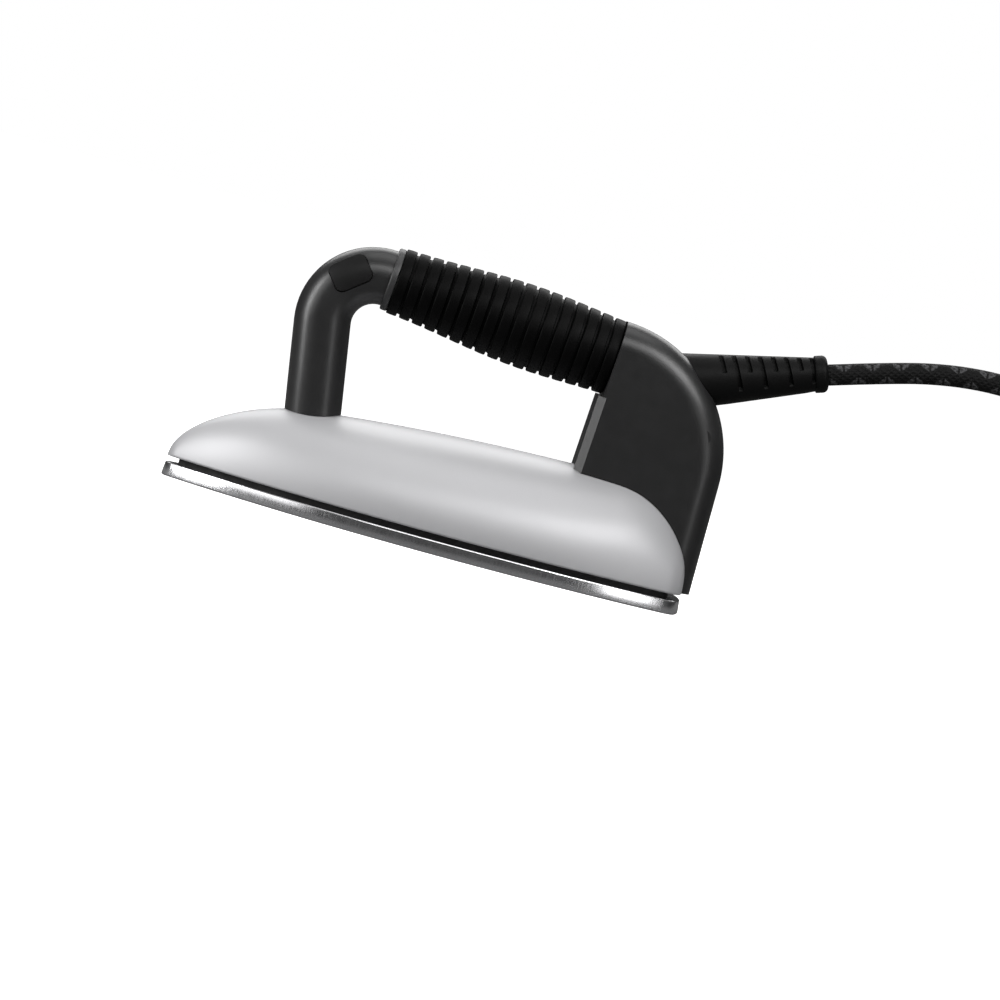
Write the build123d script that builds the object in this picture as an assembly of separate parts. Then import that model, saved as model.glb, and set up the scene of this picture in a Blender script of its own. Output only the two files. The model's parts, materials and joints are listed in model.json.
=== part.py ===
from build123d import *

import math
import os

# A dry clothes iron. Millimetres. The nose points along -X, the heel along +X and +Z is up.
# The sole rests on Z 0. The thumb button is on the iron's left, -Y, side.

# ---- driving dimensions ----
NOSE_X = -116.5  # the sole plate's tip
PLATE_LENGTH = 230.0
HALF_WIDTH = 53.0  # of the sole plate
WIDEST_X = 15.0
PLATE_THICK = 6.0
GASKET_THICK = 2.6
COVER_WALL = 2.2
LEG_RADIUS = 12.25
LEG_WALL = 3.0
GRIP_LENGTH = 100.2
SUPPORT_HALF = 17.4
SUPPORT_WALL = 2.8
CORD_DIAMETER = 9.2
FIT = 0.15  # the gap where one piece sits on another's curved face

# ---- worked out from them ----
PLATE_REAR_X = NOSE_X + PLATE_LENGTH
COVER_BASE = PLATE_THICK + GASKET_THICK
CAST_TOP = 17.0  # the top of the aluminium casting
POST_TOP = 36.0  # where the cover's bosses stand on the posts
SHIELD_Z = 24.0
FRONT_POST = (-60.0, 0.0)
REAR_POSTS = [(72.0, -9.5), (72.0, 9.5)]
POSTS = [FRONT_POST, *REAR_POSTS]


def polar(radius, degrees):
    return Vector(radius * math.cos(math.radians(degrees)), radius * math.sin(math.radians(degrees)))


# ---- the plan of the sole, as arcs that run into each other ----
TIP_RADIUS = 9.0
CORNER_RADIUS = 12.0
SHOULDER_RADIUS = 212.0
REAR_RADIUS = 110.0


def circles_meet(a, ra, b, rb):
    """The meeting point of two circles with the larger Y."""
    away = b - a
    d = away.length
    along = (ra * ra - rb * rb + d * d) / (2 * d)
    up = math.sqrt(ra * ra - along * along)
    unit = away / d
    first = a + unit * along + Vector(-unit.Y, unit.X) * up
    second = a + unit * along - Vector(-unit.Y, unit.X) * up
    return first if first.Y > second.Y else second


def plan_arcs(nose, rear, half):
    """The +Y half of the plan, from the nose: (centre, radius, first angle, last angle) of each arc."""
    tip = Vector(nose + TIP_RADIUS, 0)
    run = WIDEST_X - tip.X
    side_radius = (run**2 + half**2 - TIP_RADIUS**2) / (2 * (half - TIP_RADIUS))
    side = Vector(WIDEST_X, half - side_radius)
    shoulder = Vector(WIDEST_X, half - SHOULDER_RADIUS)
    end = Vector(rear - REAR_RADIUS, 0)
    corner = circles_meet(
        shoulder, SHOULDER_RADIUS - CORNER_RADIUS, end, REAR_RADIUS - CORNER_RADIUS
    )
    turns = [180.0]
    for big, small in ((side, tip), (side, side), (shoulder, corner), (end, corner)):
        line = small - big
        turns.append(90.0 if line.length == 0 else math.degrees(math.atan2(line.Y, line.X)))
    turns.append(0.0)
    centres = [tip, side, shoulder, corner, end]
    radii = [TIP_RADIUS, side_radius, SHOULDER_RADIUS, CORNER_RADIUS, REAR_RADIUS]
    return [(c, r, turns[i], turns[i + 1]) for i, (c, r) in enumerate(zip(centres, radii))]


def half_width(arcs, x):
    """Half the plan's width at x."""
    for centre, radius, first, last in arcs:
        low = centre.X + radius * math.cos(math.radians(first))
        high = centre.X + radius * math.cos(math.radians(last))
        if low <= x <= high:
            return centre.Y + math.sqrt(max(radius**2 - (x - centre.X) ** 2, 0.0))
    return 0.0


def plan_face(inset):
    """The plate's plan at Z 0, smaller by inset all round."""
    edges = []
    for centre, radius, first, last in plan_arcs(NOSE_X + inset, PLATE_REAR_X - inset, HALF_WIDTH - inset):
        for side in (1, -1):
            ends = [centre + polar(radius, angle) for angle in (first, (first + last) / 2, last)]
            edges.append(ThreePointArc(*[(p.X, side * p.Y) for p in ends]))
    return make_face(edges)


COVER_NOSE = NOSE_X + 0.6
COVER_REAR = PLATE_REAR_X - 0.4
COVER_HALF = HALF_WIDTH - 2.0

# ---- the cover's crown ----
RIDGE_TOP = 50.4  # the highest point of the ridge, above Z 0
RIDGE_X = 69.3
RIDGE_CURVE = 4.4e-4  # the fall of the ridge with the square of the distance from its top
NOSE_SWEEP = 53.5  # the length of the quarter ellipse at the nose
HEEL_SWEEP = 38.0  # and at the heel
CROWN_POWER = 2.05  # the squareness of a cross-section


def quarter(t, length):
    """A quarter ellipse's height, 0 to 1, at t from its end."""
    return math.sqrt(max(1.0 - max(1.0 - t / length, 0.0) ** 2, 0.0))


def ridge(x):
    """The height of the cover's centre line at x."""
    flat = RIDGE_TOP - RIDGE_CURVE * (x - RIDGE_X) ** 2 - COVER_BASE
    return COVER_BASE + flat * quarter(x - COVER_NOSE, NOSE_SWEEP) * quarter(COVER_REAR - x, HEEL_SWEEP)


def cover_section(x, inset):
    """One D-shaped cross-section of the cover at x, its sides and its roof moved inwards by inset."""
    arcs = plan_arcs(COVER_NOSE + inset, COVER_REAR - inset, COVER_HALF - inset)
    wide = half_width(arcs, x)
    base = COVER_BASE - (1.0 if inset else 0.0)
    tall = ridge(x) - 1.2 * inset - base
    points = []
    for i in range(13):
        angle = math.pi * i / 12
        c = math.cos(angle)
        across = math.copysign(abs(c) ** (2 / CROWN_POWER), c)
        points.append((x, wide * across, base + tall * math.sin(angle) ** (2 / CROWN_POWER)))
    return Face(Wire([Spline(*points).edge(), Line(points[-1], points[0]).edge()]))


def cover_solid(distances, inset):
    """A solid through the cross-sections at these distances from the nose."""
    return loft([cover_section(COVER_NOSE + d, inset) for d in distances])


COVER_STEPS = [0.25, 1.6, 4, 8, 14, 22, 34, 50, 75, 110, 145, 170, 188, 201, 211, 218.5]
COVER_STEPS += [224, 227.5, 228.8]
CAVITY_STEPS = [6, 9, 14, 22, 34, 50, 75, 110, 145, 170, 188, 201, 211, 217.5, 222]


def tube_along(path, radius):
    return sweep(Plane(path @ 0, z_dir=path % 0) * Circle(radius), path=path)


def rod(start, axis, length, radius):
    """A round bar from start along axis."""
    return Plane(start, z_dir=axis) * Pos(0, 0, length / 2) * Cylinder(radius, length)


def upright(x, y, bottom, top, radius):
    return rod((x, y, bottom), (0, 0, 1), top - bottom, radius)


def wire_run(points, radius, bend):
    """A wire through points, each corner rounded by bend."""
    return tube_along(FilletPolyline(*points, radius=bend), radius)


# ---- the sole, the heater and what clamps them ----
def sole_plate():
    plate = extrude(plan_face(0), PLATE_THICK)
    rims = plate.edges().filter_by_position(Axis.Z, PLATE_THICK, PLATE_THICK)
    rims += plate.edges().filter_by_position(Axis.Z, 0, 0)
    plate = fillet(rims, 0.9)
    for x, y in POSTS:
        plate -= upright(x, y, 3.0, PLATE_THICK + 1, 2.5)
    return plate


def sole_gasket():
    ring = extrude(plan_face(6.0) - plan_face(11.5), GASKET_THICK)
    return Pos(0, 0, PLATE_THICK) * ring


ELEMENT_Z = 11.5
ELEMENT_RADIUS = 4.0
RISER = (60.0, 25.0)  # where an end of the heating element turns up
RISER_TOP = 28.0
PIN_RADIUS = 1.2


def element_path():
    """The U of the heating element: up at the heel, round inside the nose and up again."""
    x, y = RISER
    half = [(x, y, RISER_TOP), (x, y, ELEMENT_Z), (0.0, 31.0, ELEMENT_Z), (-52.0, 19.0, ELEMENT_Z)]
    nose = [(-84.0, 9.0, ELEMENT_Z), (-84.0, -9.0, ELEMENT_Z)]
    back = [(a, -b, c) for a, b, c in reversed(half)]
    return FilletPolyline(*half, *nose, *back, radius=8.0)


def heater_casting():
    casting = Pos(0, 0, PLATE_THICK) * extrude(plan_face(12.5), CAST_TOP - PLATE_THICK)
    casting -= tube_along(element_path(), ELEMENT_RADIUS + 0.05)
    for x, y in POSTS:
        casting -= upright(x, y, 0, CAST_TOP + 1, 2.55)
    casting -= upright(*EARTH_POINT, CAST_TOP - 8, CAST_TOP + 1, 1.8)
    for x, y in THERMOSTAT_HOLES:
        casting -= upright(x, y, CAST_TOP - 6, CAST_TOP + 1, 1.3)
    return casting


def heating_element():
    return tube_along(element_path(), ELEMENT_RADIUS)


def terminal_beads():
    """The ceramic bead on each end of the element."""
    beads = []
    for side in (-1, 1):
        x, y = RISER[0], side * RISER[1]
        bead = upright(x, y, RISER_TOP, RISER_TOP + 4, 4.6)
        beads.append(bead - upright(x, y, RISER_TOP - 1, RISER_TOP + 5, PIN_RADIUS + 0.05))
    return Compound(beads)


def element_pins():
    low, high = RISER_TOP, RISER_TOP + 8
    return Compound([upright(RISER[0], s * RISER[1], low, high, PIN_RADIUS) for s in (-1, 1)])


def studs():
    """Threaded rods that hold the casting to the plate and carry the posts."""
    return Compound([upright(x, y, 3.0, CAST_TOP + 6, 2.5) for x, y in POSTS])


POST_RADIUS = 3.6  # above the shoulder that the heat shield rests on
SHIELD_THICK = 0.8


def posts():
    """The stand-offs on the studs, threaded for the cover's screws."""
    made = []
    for x, y in POSTS:
        post = upright(x, y, CAST_TOP, SHIELD_Z, 5.2) + upright(x, y, SHIELD_Z, POST_TOP, POST_RADIUS)
        post -= upright(x, y, CAST_TOP - 1, CAST_TOP + 6.2, 2.55)
        post -= upright(x, y, POST_TOP - 10, POST_TOP + 1, 2.05)
        made.append(post)
    return Compound(made)


THERMOSTAT = (8.0, 0.0)
THERMOSTAT_RADIUS = 8.0
THERMOSTAT_HOLES = [(THERMOSTAT[0], -11.5), (THERMOSTAT[0], 11.5)]
EARTH_POINT = (36.0, -14.0)
FUSE_X = -34.0


def heat_shield():
    """Thin sheet over the casting, resting on the shoulders of the posts."""
    sheet = Pos(0, 0, SHIELD_Z) * extrude(plan_face(16.0), SHIELD_THICK)
    holes = [(*point, POST_RADIUS + 0.1) for point in POSTS]
    holes += [(RISER[0], side * RISER[1], 5.5) for side in (-1, 1)]
    holes += [(*THERMOSTAT, 15.0), (*EARTH_POINT, 6.0), (FUSE_X - 9.5, 6.5, 4.0)]
    for x, y, radius in holes:
        sheet -= upright(x, y, SHIELD_Z - 1, SHIELD_Z + 2, radius)
    return sheet


def shield_washers():
    low, high = SHIELD_Z + SHIELD_THICK, SHIELD_Z + SHIELD_THICK + 0.8
    made = []
    for x, y in POSTS:
        made.append(upright(x, y, low, high, 6.0) - upright(x, y, low - 1, high + 1, POST_RADIUS + 0.05))
    return Compound(made)


def thermostat():
    """A sealed bimetal disc thermostat: an aluminium-capped ceramic drum on a flange with two ears."""
    x, y = THERMOSTAT
    body = upright(x, y, CAST_TOP, CAST_TOP + 9, THERMOSTAT_RADIUS)
    body += Pos(x, y, CAST_TOP + 0.5) * Box(7, 29, 1.0)
    for hole in THERMOSTAT_HOLES:
        body -= upright(*hole, CAST_TOP - 1, CAST_TOP + 2, 1.3)
    return body


def thermostat_tabs():
    x, y = THERMOSTAT
    top = CAST_TOP + 9
    return Compound([Pos(x + s * 4.5, y, top + 3) * Box(0.8, 6.0, 6) for s in (-1, 1)])


def thermostat_screws():
    made = []
    for x, y in THERMOSTAT_HOLES:
        shank = upright(x, y, CAST_TOP - 5, CAST_TOP + 1, 1.25)
        made.append(shank + upright(x, y, CAST_TOP + 1, CAST_TOP + 2.8, 2.3))
    return Compound(made)


def thermal_fuse():
    return rod((FUSE_X - 5.5, 0, CAST_TOP + 2.2), (1, 0, 0), 11.0, 2.1)


def fuse_clip():
    """A spring strap that holds the fuse against the casting."""
    strap = Pos(FUSE_X, 0, CAST_TOP + 2.5) * Box(5.0, 6.2, 5.0)
    strap += Pos(FUSE_X, 0, CAST_TOP + 0.4) * Box(5.0, 15.0, 0.8)
    strap -= Pos(FUSE_X, 0, CAST_TOP + 2.1) * Box(6.0, 4.4, 4.6)
    return strap


def earth_screw():
    x, y = EARTH_POINT
    return upright(x, y, CAST_TOP - 7, CAST_TOP, 1.75) + upright(x, y, CAST_TOP, CAST_TOP + 2.5, 3.4)


# ---- the cover ----
def screw_bosses():
    """Bosses that reach down from the roof of the cover to the posts."""
    return [upright(x, y, POST_TOP, RIDGE_TOP + 5, 6.0) for x, y in POSTS]


LEG_WIRE_HOLE = (-60.0, 7.2)
HEEL_WIRE_HOLE = (86.0, 0.0)


def cover(outer, cavity):
    shell = outer - cavity
    lip = Pos(0, 0, COVER_BASE) * extrude(plan_face(5.0) - plan_face(11.5), 2.4)
    shell += lip & outer
    for boss in screw_bosses():
        shell += boss & outer
    for x, y in POSTS:
        shell -= upright(x, y, POST_TOP - 1, RIDGE_TOP + 5, 2.3)
    shell -= upright(*LEG_WIRE_HOLE, POST_TOP - 1, RIDGE_TOP + 5, 1.8)
    shell -= upright(*HEEL_WIRE_HOLE, POST_TOP - 1, RIDGE_TOP + 5, 4.5)
    return shell


def above_cover(outer):
    """What a piece that sits on the cover is cut with, so that it stays a small fit above it."""
    return Pos(0, 0, FIT) * outer


FOOT_FLOOR = 56.0  # the top of the leg's solid foot, where its screw's head sits
HEEL_FLOOR = 55.0


def cover_screws():
    """The long screw of the front leg and one in each half of the rear support."""
    made = []
    for (x, y), seat in zip(POSTS, (FOOT_FLOOR, HEEL_FLOOR, HEEL_FLOOR)):
        made.append(upright(x, y, POST_TOP - 9, seat, 2.0) + upright(x, y, seat, seat + 3, 3.9))
    return Compound(made)


# ---- the front leg and its bend ----
BEND_CENTRE = Vector(-45.1, 0, 84.8)
BEND_RADIUS = 21.8
LEG_LEAN = 9.0  # degrees, the top towards the nose
GRIP_FALL = 4.3  # degrees, the grip falls towards the heel


def in_side_view(degrees):
    """A direction in the XZ plane, from +X up towards +Z."""
    return Vector(math.cos(math.radians(degrees)), 0, math.sin(math.radians(degrees)))


LEG_UP = in_side_view(90 + LEG_LEAN)
GRIP_AXIS = in_side_view(-GRIP_FALL)
BEND_START = BEND_CENTRE + BEND_RADIUS * in_side_view(180 + LEG_LEAN)
BEND_END = BEND_CENTRE + BEND_RADIUS * in_side_view(90 - GRIP_FALL)
LEG_FOOT = BEND_START - LEG_UP * 46


def leg_path():
    """The centre line of the leg, from inside the cover to the collar."""
    middle = BEND_CENTRE + BEND_RADIUS * in_side_view((270 + LEG_LEAN - GRIP_FALL) / 2)
    return Line(LEG_FOOT, BEND_START) + ThreePointArc(BEND_START, middle, BEND_END)


# ---- the thumb button, in the side of the bend ----
BUTTON_TURN = 127.5  # where it is round the bend, in degrees up from +X
BUTTON_TILT = 17.0  # degrees, how far it faces up from straight sideways
BUTTON_LONG = 16.8
BUTTON_WIDE = 12.8
BUTTON_PROUD = 0.8
BUTTON_GAP = 0.3
BUTTON_TRAVEL = 1.6
BUTTON_CORNER = 3.1
# Heights above the leg's centre line, along the button's axis.
SWITCH_TOP = 2.2
BRACKET_TOP = SWITCH_TOP + 0.8
STEM_END = SWITCH_TOP + BUTTON_TRAVEL + 0.1
STEM_TOP = 8.2
CAP_BOTTOM = BRACKET_TOP + BUTTON_TRAVEL + 0.4
CAP_TOP = 18.0  # above the leg's skin, which trims it
SPRING_BOTTOM = BRACKET_TOP + 0.35
SPRING_HEIGHT = 2.9
SWITCH_DEEP = 6.5
TERMINAL_APART = 4.2  # of a switch terminal from the button's axis
STEM_RADIUS = 1.9
PLUNGER_RADIUS = 1.2


def button_plane():
    """Origin on the leg's centre line, X along the bend, Z outwards through the button."""
    out = in_side_view(BUTTON_TURN)
    tilt = math.radians(BUTTON_TILT)
    normal = Vector(0, -math.cos(tilt), 0) + out * math.sin(tilt)
    along = in_side_view(BUTTON_TURN - 90)
    return Plane(BEND_CENTRE + BEND_RADIUS * out, x_dir=along, z_dir=normal)


BUTTON = button_plane()


def rounded_block(length, width, bottom, top, radius):
    return Pos(0, 0, bottom) * extrude(RectangleRounded(length, width, radius), top - bottom)


def pipe_wall(outer, inner):
    return tube_along(leg_path(), outer) - tube_along(leg_path(), inner)


def front_leg(outer):
    leg = tube_along(leg_path(), LEG_RADIUS)
    bore = tube_along(leg_path(), LEG_RADIUS - LEG_WALL) & Pos(0, 0, FOOT_FLOOR + 75) * Box(200, 60, 150)
    leg -= bore
    leg -= above_cover(outer)
    leg -= upright(*FRONT_POST, 30, FOOT_FLOOR + 1, 2.15)
    leg -= upright(*LEG_WIRE_HOLE, 30, FOOT_FLOOR + 1, 1.6)
    long, wide = BUTTON_LONG + 2 * BUTTON_GAP, BUTTON_WIDE + 2 * BUTTON_GAP
    window = rounded_block(long, wide, CAP_BOTTOM - 1, CAP_TOP, BUTTON_CORNER + BUTTON_GAP)
    return leg - BUTTON * window


def thumb_button():
    """A cap that follows the bend's surface, its retaining flange and its stem."""
    bore = LEG_RADIUS - LEG_WALL
    cap = BUTTON * rounded_block(BUTTON_LONG, BUTTON_WIDE, CAP_BOTTOM, CAP_TOP, BUTTON_CORNER)
    cap &= pipe_wall(LEG_RADIUS + BUTTON_PROUD, bore - 1.2)
    flange = BUTTON * rounded_block(BUTTON_LONG + 2.4, BUTTON_WIDE + 1.2, CAP_BOTTOM, CAP_TOP, BUTTON_CORNER)
    flange &= pipe_wall(bore - FIT, bore - 1.6)
    stem = BUTTON * Pos(0, 0, (STEM_END + STEM_TOP) / 2) * Cylinder(STEM_RADIUS, STEM_TOP - STEM_END)
    return cap + flange + stem


def switch_plunger():
    low = -0.6
    return BUTTON * Pos(0, 0, (STEM_END + low) / 2) * Cylinder(PLUNGER_RADIUS, STEM_END - low)


def button_spring():
    coil = Helix(pitch=0.95, height=SPRING_HEIGHT, radius=3.1)
    wire = sweep(Plane(coil @ 0, z_dir=coil % 0) * Circle(0.3), path=coil)
    return BUTTON * Pos(0, 0, SPRING_BOTTOM) * wire


def switch_body():
    """A small microswitch, its plunger facing the button."""
    body = rounded_block(12.8, 5.8, SWITCH_TOP - SWITCH_DEEP, SWITCH_TOP, 0.6)
    body -= Pos(0, 0, SWITCH_TOP / 2 - 0.5) * Cylinder(PLUNGER_RADIUS + 0.1, SWITCH_TOP + 4.5)
    return BUTTON * body


def switch_bracket():
    """The plate across the bore that the switch hangs from and the spring stands on."""
    plate = rounded_block(15.4, 18.0, SWITCH_TOP, BRACKET_TOP, 1.0)
    plate -= Pos(0, 0, SWITCH_TOP) * Cylinder(STEM_RADIUS + 0.5, 4)
    return (BUTTON * plate) & tube_along(leg_path(), LEG_RADIUS - LEG_WALL - 0.05)


def switch_terminals():
    low = SWITCH_TOP - SWITCH_DEEP
    blade = Box(0.6, 3.0, 2.4)
    return Compound([BUTTON * Pos(s * TERMINAL_APART, 0, low - 1.2) * blade for s in (-1, 1)])


# ---- the grip ----
COLLAR_THICK = 3.2
COLLAR_RADIUS = 13.85
RIB_COUNT = 17
GROOVE_WIDE = 1.25
GROOVE_DEEP = 1.3
CORE_RADIUS = 11.0
CORE_BORE = 7.0
SPIGOT_LONG = 3.5
CORE_INTO_HEEL = 5.0


def grip_radius(s):
    """The grip's radius over the ribs, at s along it from the collar."""
    return 14.45 + 1.5 * s / GRIP_LENGTH + 2.7 * math.sin(math.pi * s / 114.0) ** 2


GRIP_PLANE = Plane(BEND_END, x_dir=(0, 1, 0), z_dir=GRIP_AXIS)  # Z along the grip, from the leg's end


def ring(bottom, top, outer, inner):
    """A ring round the grip's axis."""
    middle = Pos(0, 0, (bottom + top) / 2)
    return middle * Cylinder(outer, top - bottom) - middle * Cylinder(inner, top - bottom + 2)


def collar_ring():
    made = ring(0.0, COLLAR_THICK, COLLAR_RADIUS, LEG_RADIUS - LEG_WALL)
    made = fillet(made.edges().filter_by(GeomType.CIRCLE).group_by(SortBy.RADIUS)[-1], 0.7)
    return GRIP_PLANE * made


def grip_sleeve():
    """The ribbed rubber sleeve: each rib follows the swell of the grip."""
    pitch = GRIP_LENGTH / RIB_COUNT
    points = [(CORE_RADIUS, 0.0)]
    for i in range(RIB_COUNT):
        low = i * pitch
        high = low + pitch - GROOVE_WIDE
        crest = [(grip_radius(s), s) for s in (low, (low + high) / 2, high)]
        foot = [(grip_radius(s) - GROOVE_DEEP, s) for s in (high, low + pitch)]
        points += crest + foot if i < RIB_COUNT - 1 else crest
    points.append((CORE_RADIUS, (RIB_COUNT - 1) * pitch + pitch - GROOVE_WIDE))
    profile = make_face(Polyline(*points, close=True))
    solid = revolve(Plane.XZ * profile, Axis.Z)
    return GRIP_PLANE * Pos(0, 0, COLLAR_THICK) * solid


def grip_core():
    """The stiff tube inside the sleeve, with a spigot into the leg and its other end in the support."""
    start, end = COLLAR_THICK, COLLAR_THICK + GRIP_LENGTH + CORE_INTO_HEEL
    core = ring(start, end, CORE_RADIUS, CORE_BORE)
    core += ring(-SPIGOT_LONG, start, LEG_RADIUS - LEG_WALL - 0.1, CORE_BORE)
    spigot_limit = tube_along(leg_path(), LEG_RADIUS - LEG_WALL - 0.1)
    straight = GRIP_PLANE * Pos(0, 0, 60) * Box(80, 80, 120)
    return (GRIP_PLANE * core) & (spigot_limit + straight)


# ---- the rear support ----
ARC_CENTRE = Vector(58.7, 0, 57.9)
ARC_RADIUS = 57.5
HEEL_FILLET = 12.0
FRONT_CHAMFER = 3.4
STEP_DOWN = 17.0  # the ledge under the grip's end, below the grip's axis
SUPPORT_FOOT = COVER_BASE + 0.4


GRIP_END = GRIP_PLANE.origin + GRIP_AXIS * (COLLAR_THICK + GRIP_LENGTH - 0.9)
STEP = GRIP_END - STEP_DOWN * in_side_view(90 - GRIP_FALL)
FRONT_FOOT = Vector(51.0, 0, SUPPORT_FOOT)
FRONT_HEAD = Vector(55.5, 0, STEP.Z)


def support_profile(inset):
    """The side of the support: its front edge, the long arc of its back and its upright heel."""
    radius = ARC_RADIUS - inset
    crown_x = GRIP_END.X + 1.2 + inset - ARC_CENTRE.X
    crown = ARC_CENTRE + Vector(crown_x, 0, math.sqrt(radius**2 - crown_x**2))
    heel = ARC_CENTRE + Vector(radius, 0, 0)
    back = ThreePointArc(crown, ARC_CENTRE + radius * in_side_view(44), heel)
    down = Line(heel, Vector(heel.X, 0, SUPPORT_FOOT))
    low_front = FRONT_FOOT + Vector(inset, 0, 0)
    raised = Vector(inset, 0, inset / 2)
    front = Polyline(down @ 1, low_front, FRONT_HEAD + raised, STEP + raised, crown)
    return make_face(Curve() + [back, down, *front.edges()])


def support_block(inset):
    """The whole support as a solid, its outline moved inwards by inset."""
    half = SUPPORT_HALF - inset
    block = extrude(support_profile(inset), half, both=True)
    back = []
    for edge in block.edges():
        middle = edge @ 0.5
        on_a_side = abs(abs(middle.Y) - half) < 0.01
        if on_a_side and middle.X > ARC_CENTRE.X + 10 and middle.Z > SUPPORT_FOOT + 1:
            back.append(edge)
    return fillet(back, HEEL_FILLET - inset)


def front_bevels():
    """Wedges that bevel the support's two front corners, up to the step under the grip."""
    edge = FRONT_HEAD - FRONT_FOOT
    past = 2.0  # how far a wedge reaches outside the corner
    reach = FRONT_CHAMFER + past
    made = []
    for side in (-1, 1):
        corner = FRONT_FOOT + Vector(0, side * SUPPORT_HALF, 0)
        frame = Plane(corner, x_dir=(0, 1, 0), z_dir=edge)
        wedge = Polyline((side * past, -reach), (side * past, past), (-side * reach, past), close=True)
        made.append(extrude(frame * make_face(wedge), edge.length))
    return made


RELIEF_RISE = 18.1  # degrees, how the cord leaves
RELIEF_EXIT = Vector(96.3, 0, 98.9)
RELIEF_AXIS = in_side_view(RELIEF_RISE)
RELIEF_PLANE = Plane(RELIEF_EXIT, x_dir=(0, 1, 0), z_dir=RELIEF_AXIS)
RELIEF_ROOT = 11.6
RELIEF_TIP = 7.35
RELIEF_TAPER = 49.9
RELIEF_LENGTH = 55.6
RELIEF_END_RING = 8.05
RELIEF_GAP = 0.25  # between the relief and the housing's hole
BORE_GAP = 0.35  # between the cord and the relief's bore
CORD_INNER_END = -24.0  # along the relief's axis, from where it leaves the housing
CORD_RADIUS = CORD_DIAMETER / 2
CLAMP_ALONG = -18.2
CLAMP_ACROSS = 7.5
SHELF_Z = 62.0


def relief_local(x, y, low, high, wide, tall):
    """A block in the strain relief's own frame: X across, Y up, Z along the cord."""
    return RELIEF_PLANE * Pos(x, y, (low + high) / 2) * Box(wide, tall, high - low)


def support_shell(outer):
    """Both halves as one hollow shell, shaped underneath to the cover's roof."""
    block = support_block(0)
    for wedge in front_bevels():
        block -= wedge
    cavity = support_block(SUPPORT_WALL) - Pos(SUPPORT_WALL, 0, SUPPORT_WALL + 1) * outer
    cavity &= Pos(60, 0, HEEL_FLOOR + 75) * Box(140, 80, 150)
    shell = block - cavity - above_cover(outer)
    shell -= GRIP_PLANE * Pos(0, 0, COLLAR_THICK + GRIP_LENGTH) * Cylinder(CORE_RADIUS + 0.1, 14)
    for x, y in REAR_POSTS:
        shell -= upright(x, y, 30, HEEL_FLOOR + 1, 2.15)
    return shell - upright(*HEEL_WIRE_HOLE, 30, HEEL_FLOOR + 1, 4.3)


def side_of(shell, side):
    """One half of the support: side is -1 for the iron's left and 1 for its right."""
    half = shell & Pos(60, side * 50, 60) * Box(200, 100, 200)
    seam_turned = Rot(0, 0, 30)  # the hole's own seam stays off the plane where the halves meet
    return half - RELIEF_PLANE * Pos(0, 0, 12) * seam_turned * Cylinder(RELIEF_ROOT + RELIEF_GAP, 44)


JOIN_POINTS = [(62.0, 80.0), (103.0, 76.0)]  # X and Z of the screws that join the halves
BOSS_RADIUS = 3.6
SCREW_SINK = 3.0  # how deep a head sits in the right half
SHANK_RADIUS = 1.4
HEAD_RADIUS = 2.9


def joining_bosses(side):
    """A boss for each joining screw, from a half's wall to the middle."""
    reach = SUPPORT_HALF - 1.0
    return [rod((x, side * reach, z), (0, -side, 0), reach, BOSS_RADIUS) for x, z in JOIN_POINTS]


def rear_support_left(shell):
    half = side_of(shell, -1)
    for boss in joining_bosses(-1):
        half += boss
    for x, z in JOIN_POINTS:
        half -= rod((x, 1, z), (0, -1, 0), 12.0, SHANK_RADIUS + 0.1)
    return half


def rear_support_right(shell):
    half = side_of(shell, 1)
    for boss in joining_bosses(1):
        half += boss
    for x, z in JOIN_POINTS:
        half -= rod((x, -1, z), (0, 1, 0), SUPPORT_HALF + 2, SHANK_RADIUS + 0.3)
        half -= rod((x, SUPPORT_HALF - SCREW_SINK, z), (0, 1, 0), SCREW_SINK + 2, HEAD_RADIUS + 0.2)
    half += Pos(86, 4.0, SHELF_Z - 1) * Box(20, 25, 2)
    base = relief_local(2.5, -7.0, -21, -15.5, 27, 4.4)
    return half + base - Compound(clamp_holes())


def support_screws():
    made = []
    tip, seat = -9.0, SUPPORT_HALF - SCREW_SINK
    for x, z in JOIN_POINTS:
        shank = rod((x, tip, z), (0, 1, 0), seat - tip, SHANK_RADIUS)
        made.append(shank + rod((x, seat, z), (0, 1, 0), 2.2, HEAD_RADIUS))
    return Compound(made)


# ---- the wiring in the rear support ----
BLOCK_CENTRE = Vector(86, 0, SHELF_Z + 6)
WAYS = (-5.0, 0.0, 5.0)  # the terminal block's three ways, across Y


def terminal_block():
    block = Pos(*BLOCK_CENTRE) * Box(16, 16, 12)
    for y in WAYS:
        block -= rod((BLOCK_CENTRE.X - 9, y, BLOCK_CENTRE.Z - 1), (1, 0, 0), 18, 1.6)
        for x in (-4.5, 4.5):
            block -= upright(BLOCK_CENTRE.X + x, y, BLOCK_CENTRE.Z, BLOCK_CENTRE.Z + 7, 1.4)
    return block


def terminal_screws():
    made = []
    low, high = BLOCK_CENTRE.Z + 0.7, BLOCK_CENTRE.Z + 5
    for y in WAYS:
        for x in (-4.5, 4.5):
            made.append(upright(BLOCK_CENTRE.X + x, y, low, high, 1.3))
    return Compound(made)


def clamp_holes():
    """The holes for the clamp's two screws, through the bar and its base."""
    hole = Rot(90, 0, 0) * Cylinder(1.3, 30)
    return [RELIEF_PLANE * Pos(s * CLAMP_ACROSS, 0, CLAMP_ALONG) * hole for s in (-1, 1)]


def cord_clamp():
    bar = relief_local(0, 6.1, -21, -15.5, 20, 3.0)
    return bar - Compound(clamp_holes())


def clamp_screws():
    made = []
    for side in (-1, 1):
        place = RELIEF_PLANE * Pos(side * CLAMP_ACROSS, 0, CLAMP_ALONG)
        shank = Pos(0, 0.9, 0) * Rot(90, 0, 0) * Cylinder(1.2, 13.4)
        head = Pos(0, 8.5, 0) * Rot(90, 0, 0) * Cylinder(2.3, 1.8)
        made.append(place * (shank + head))
    return Compound(made)


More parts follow.
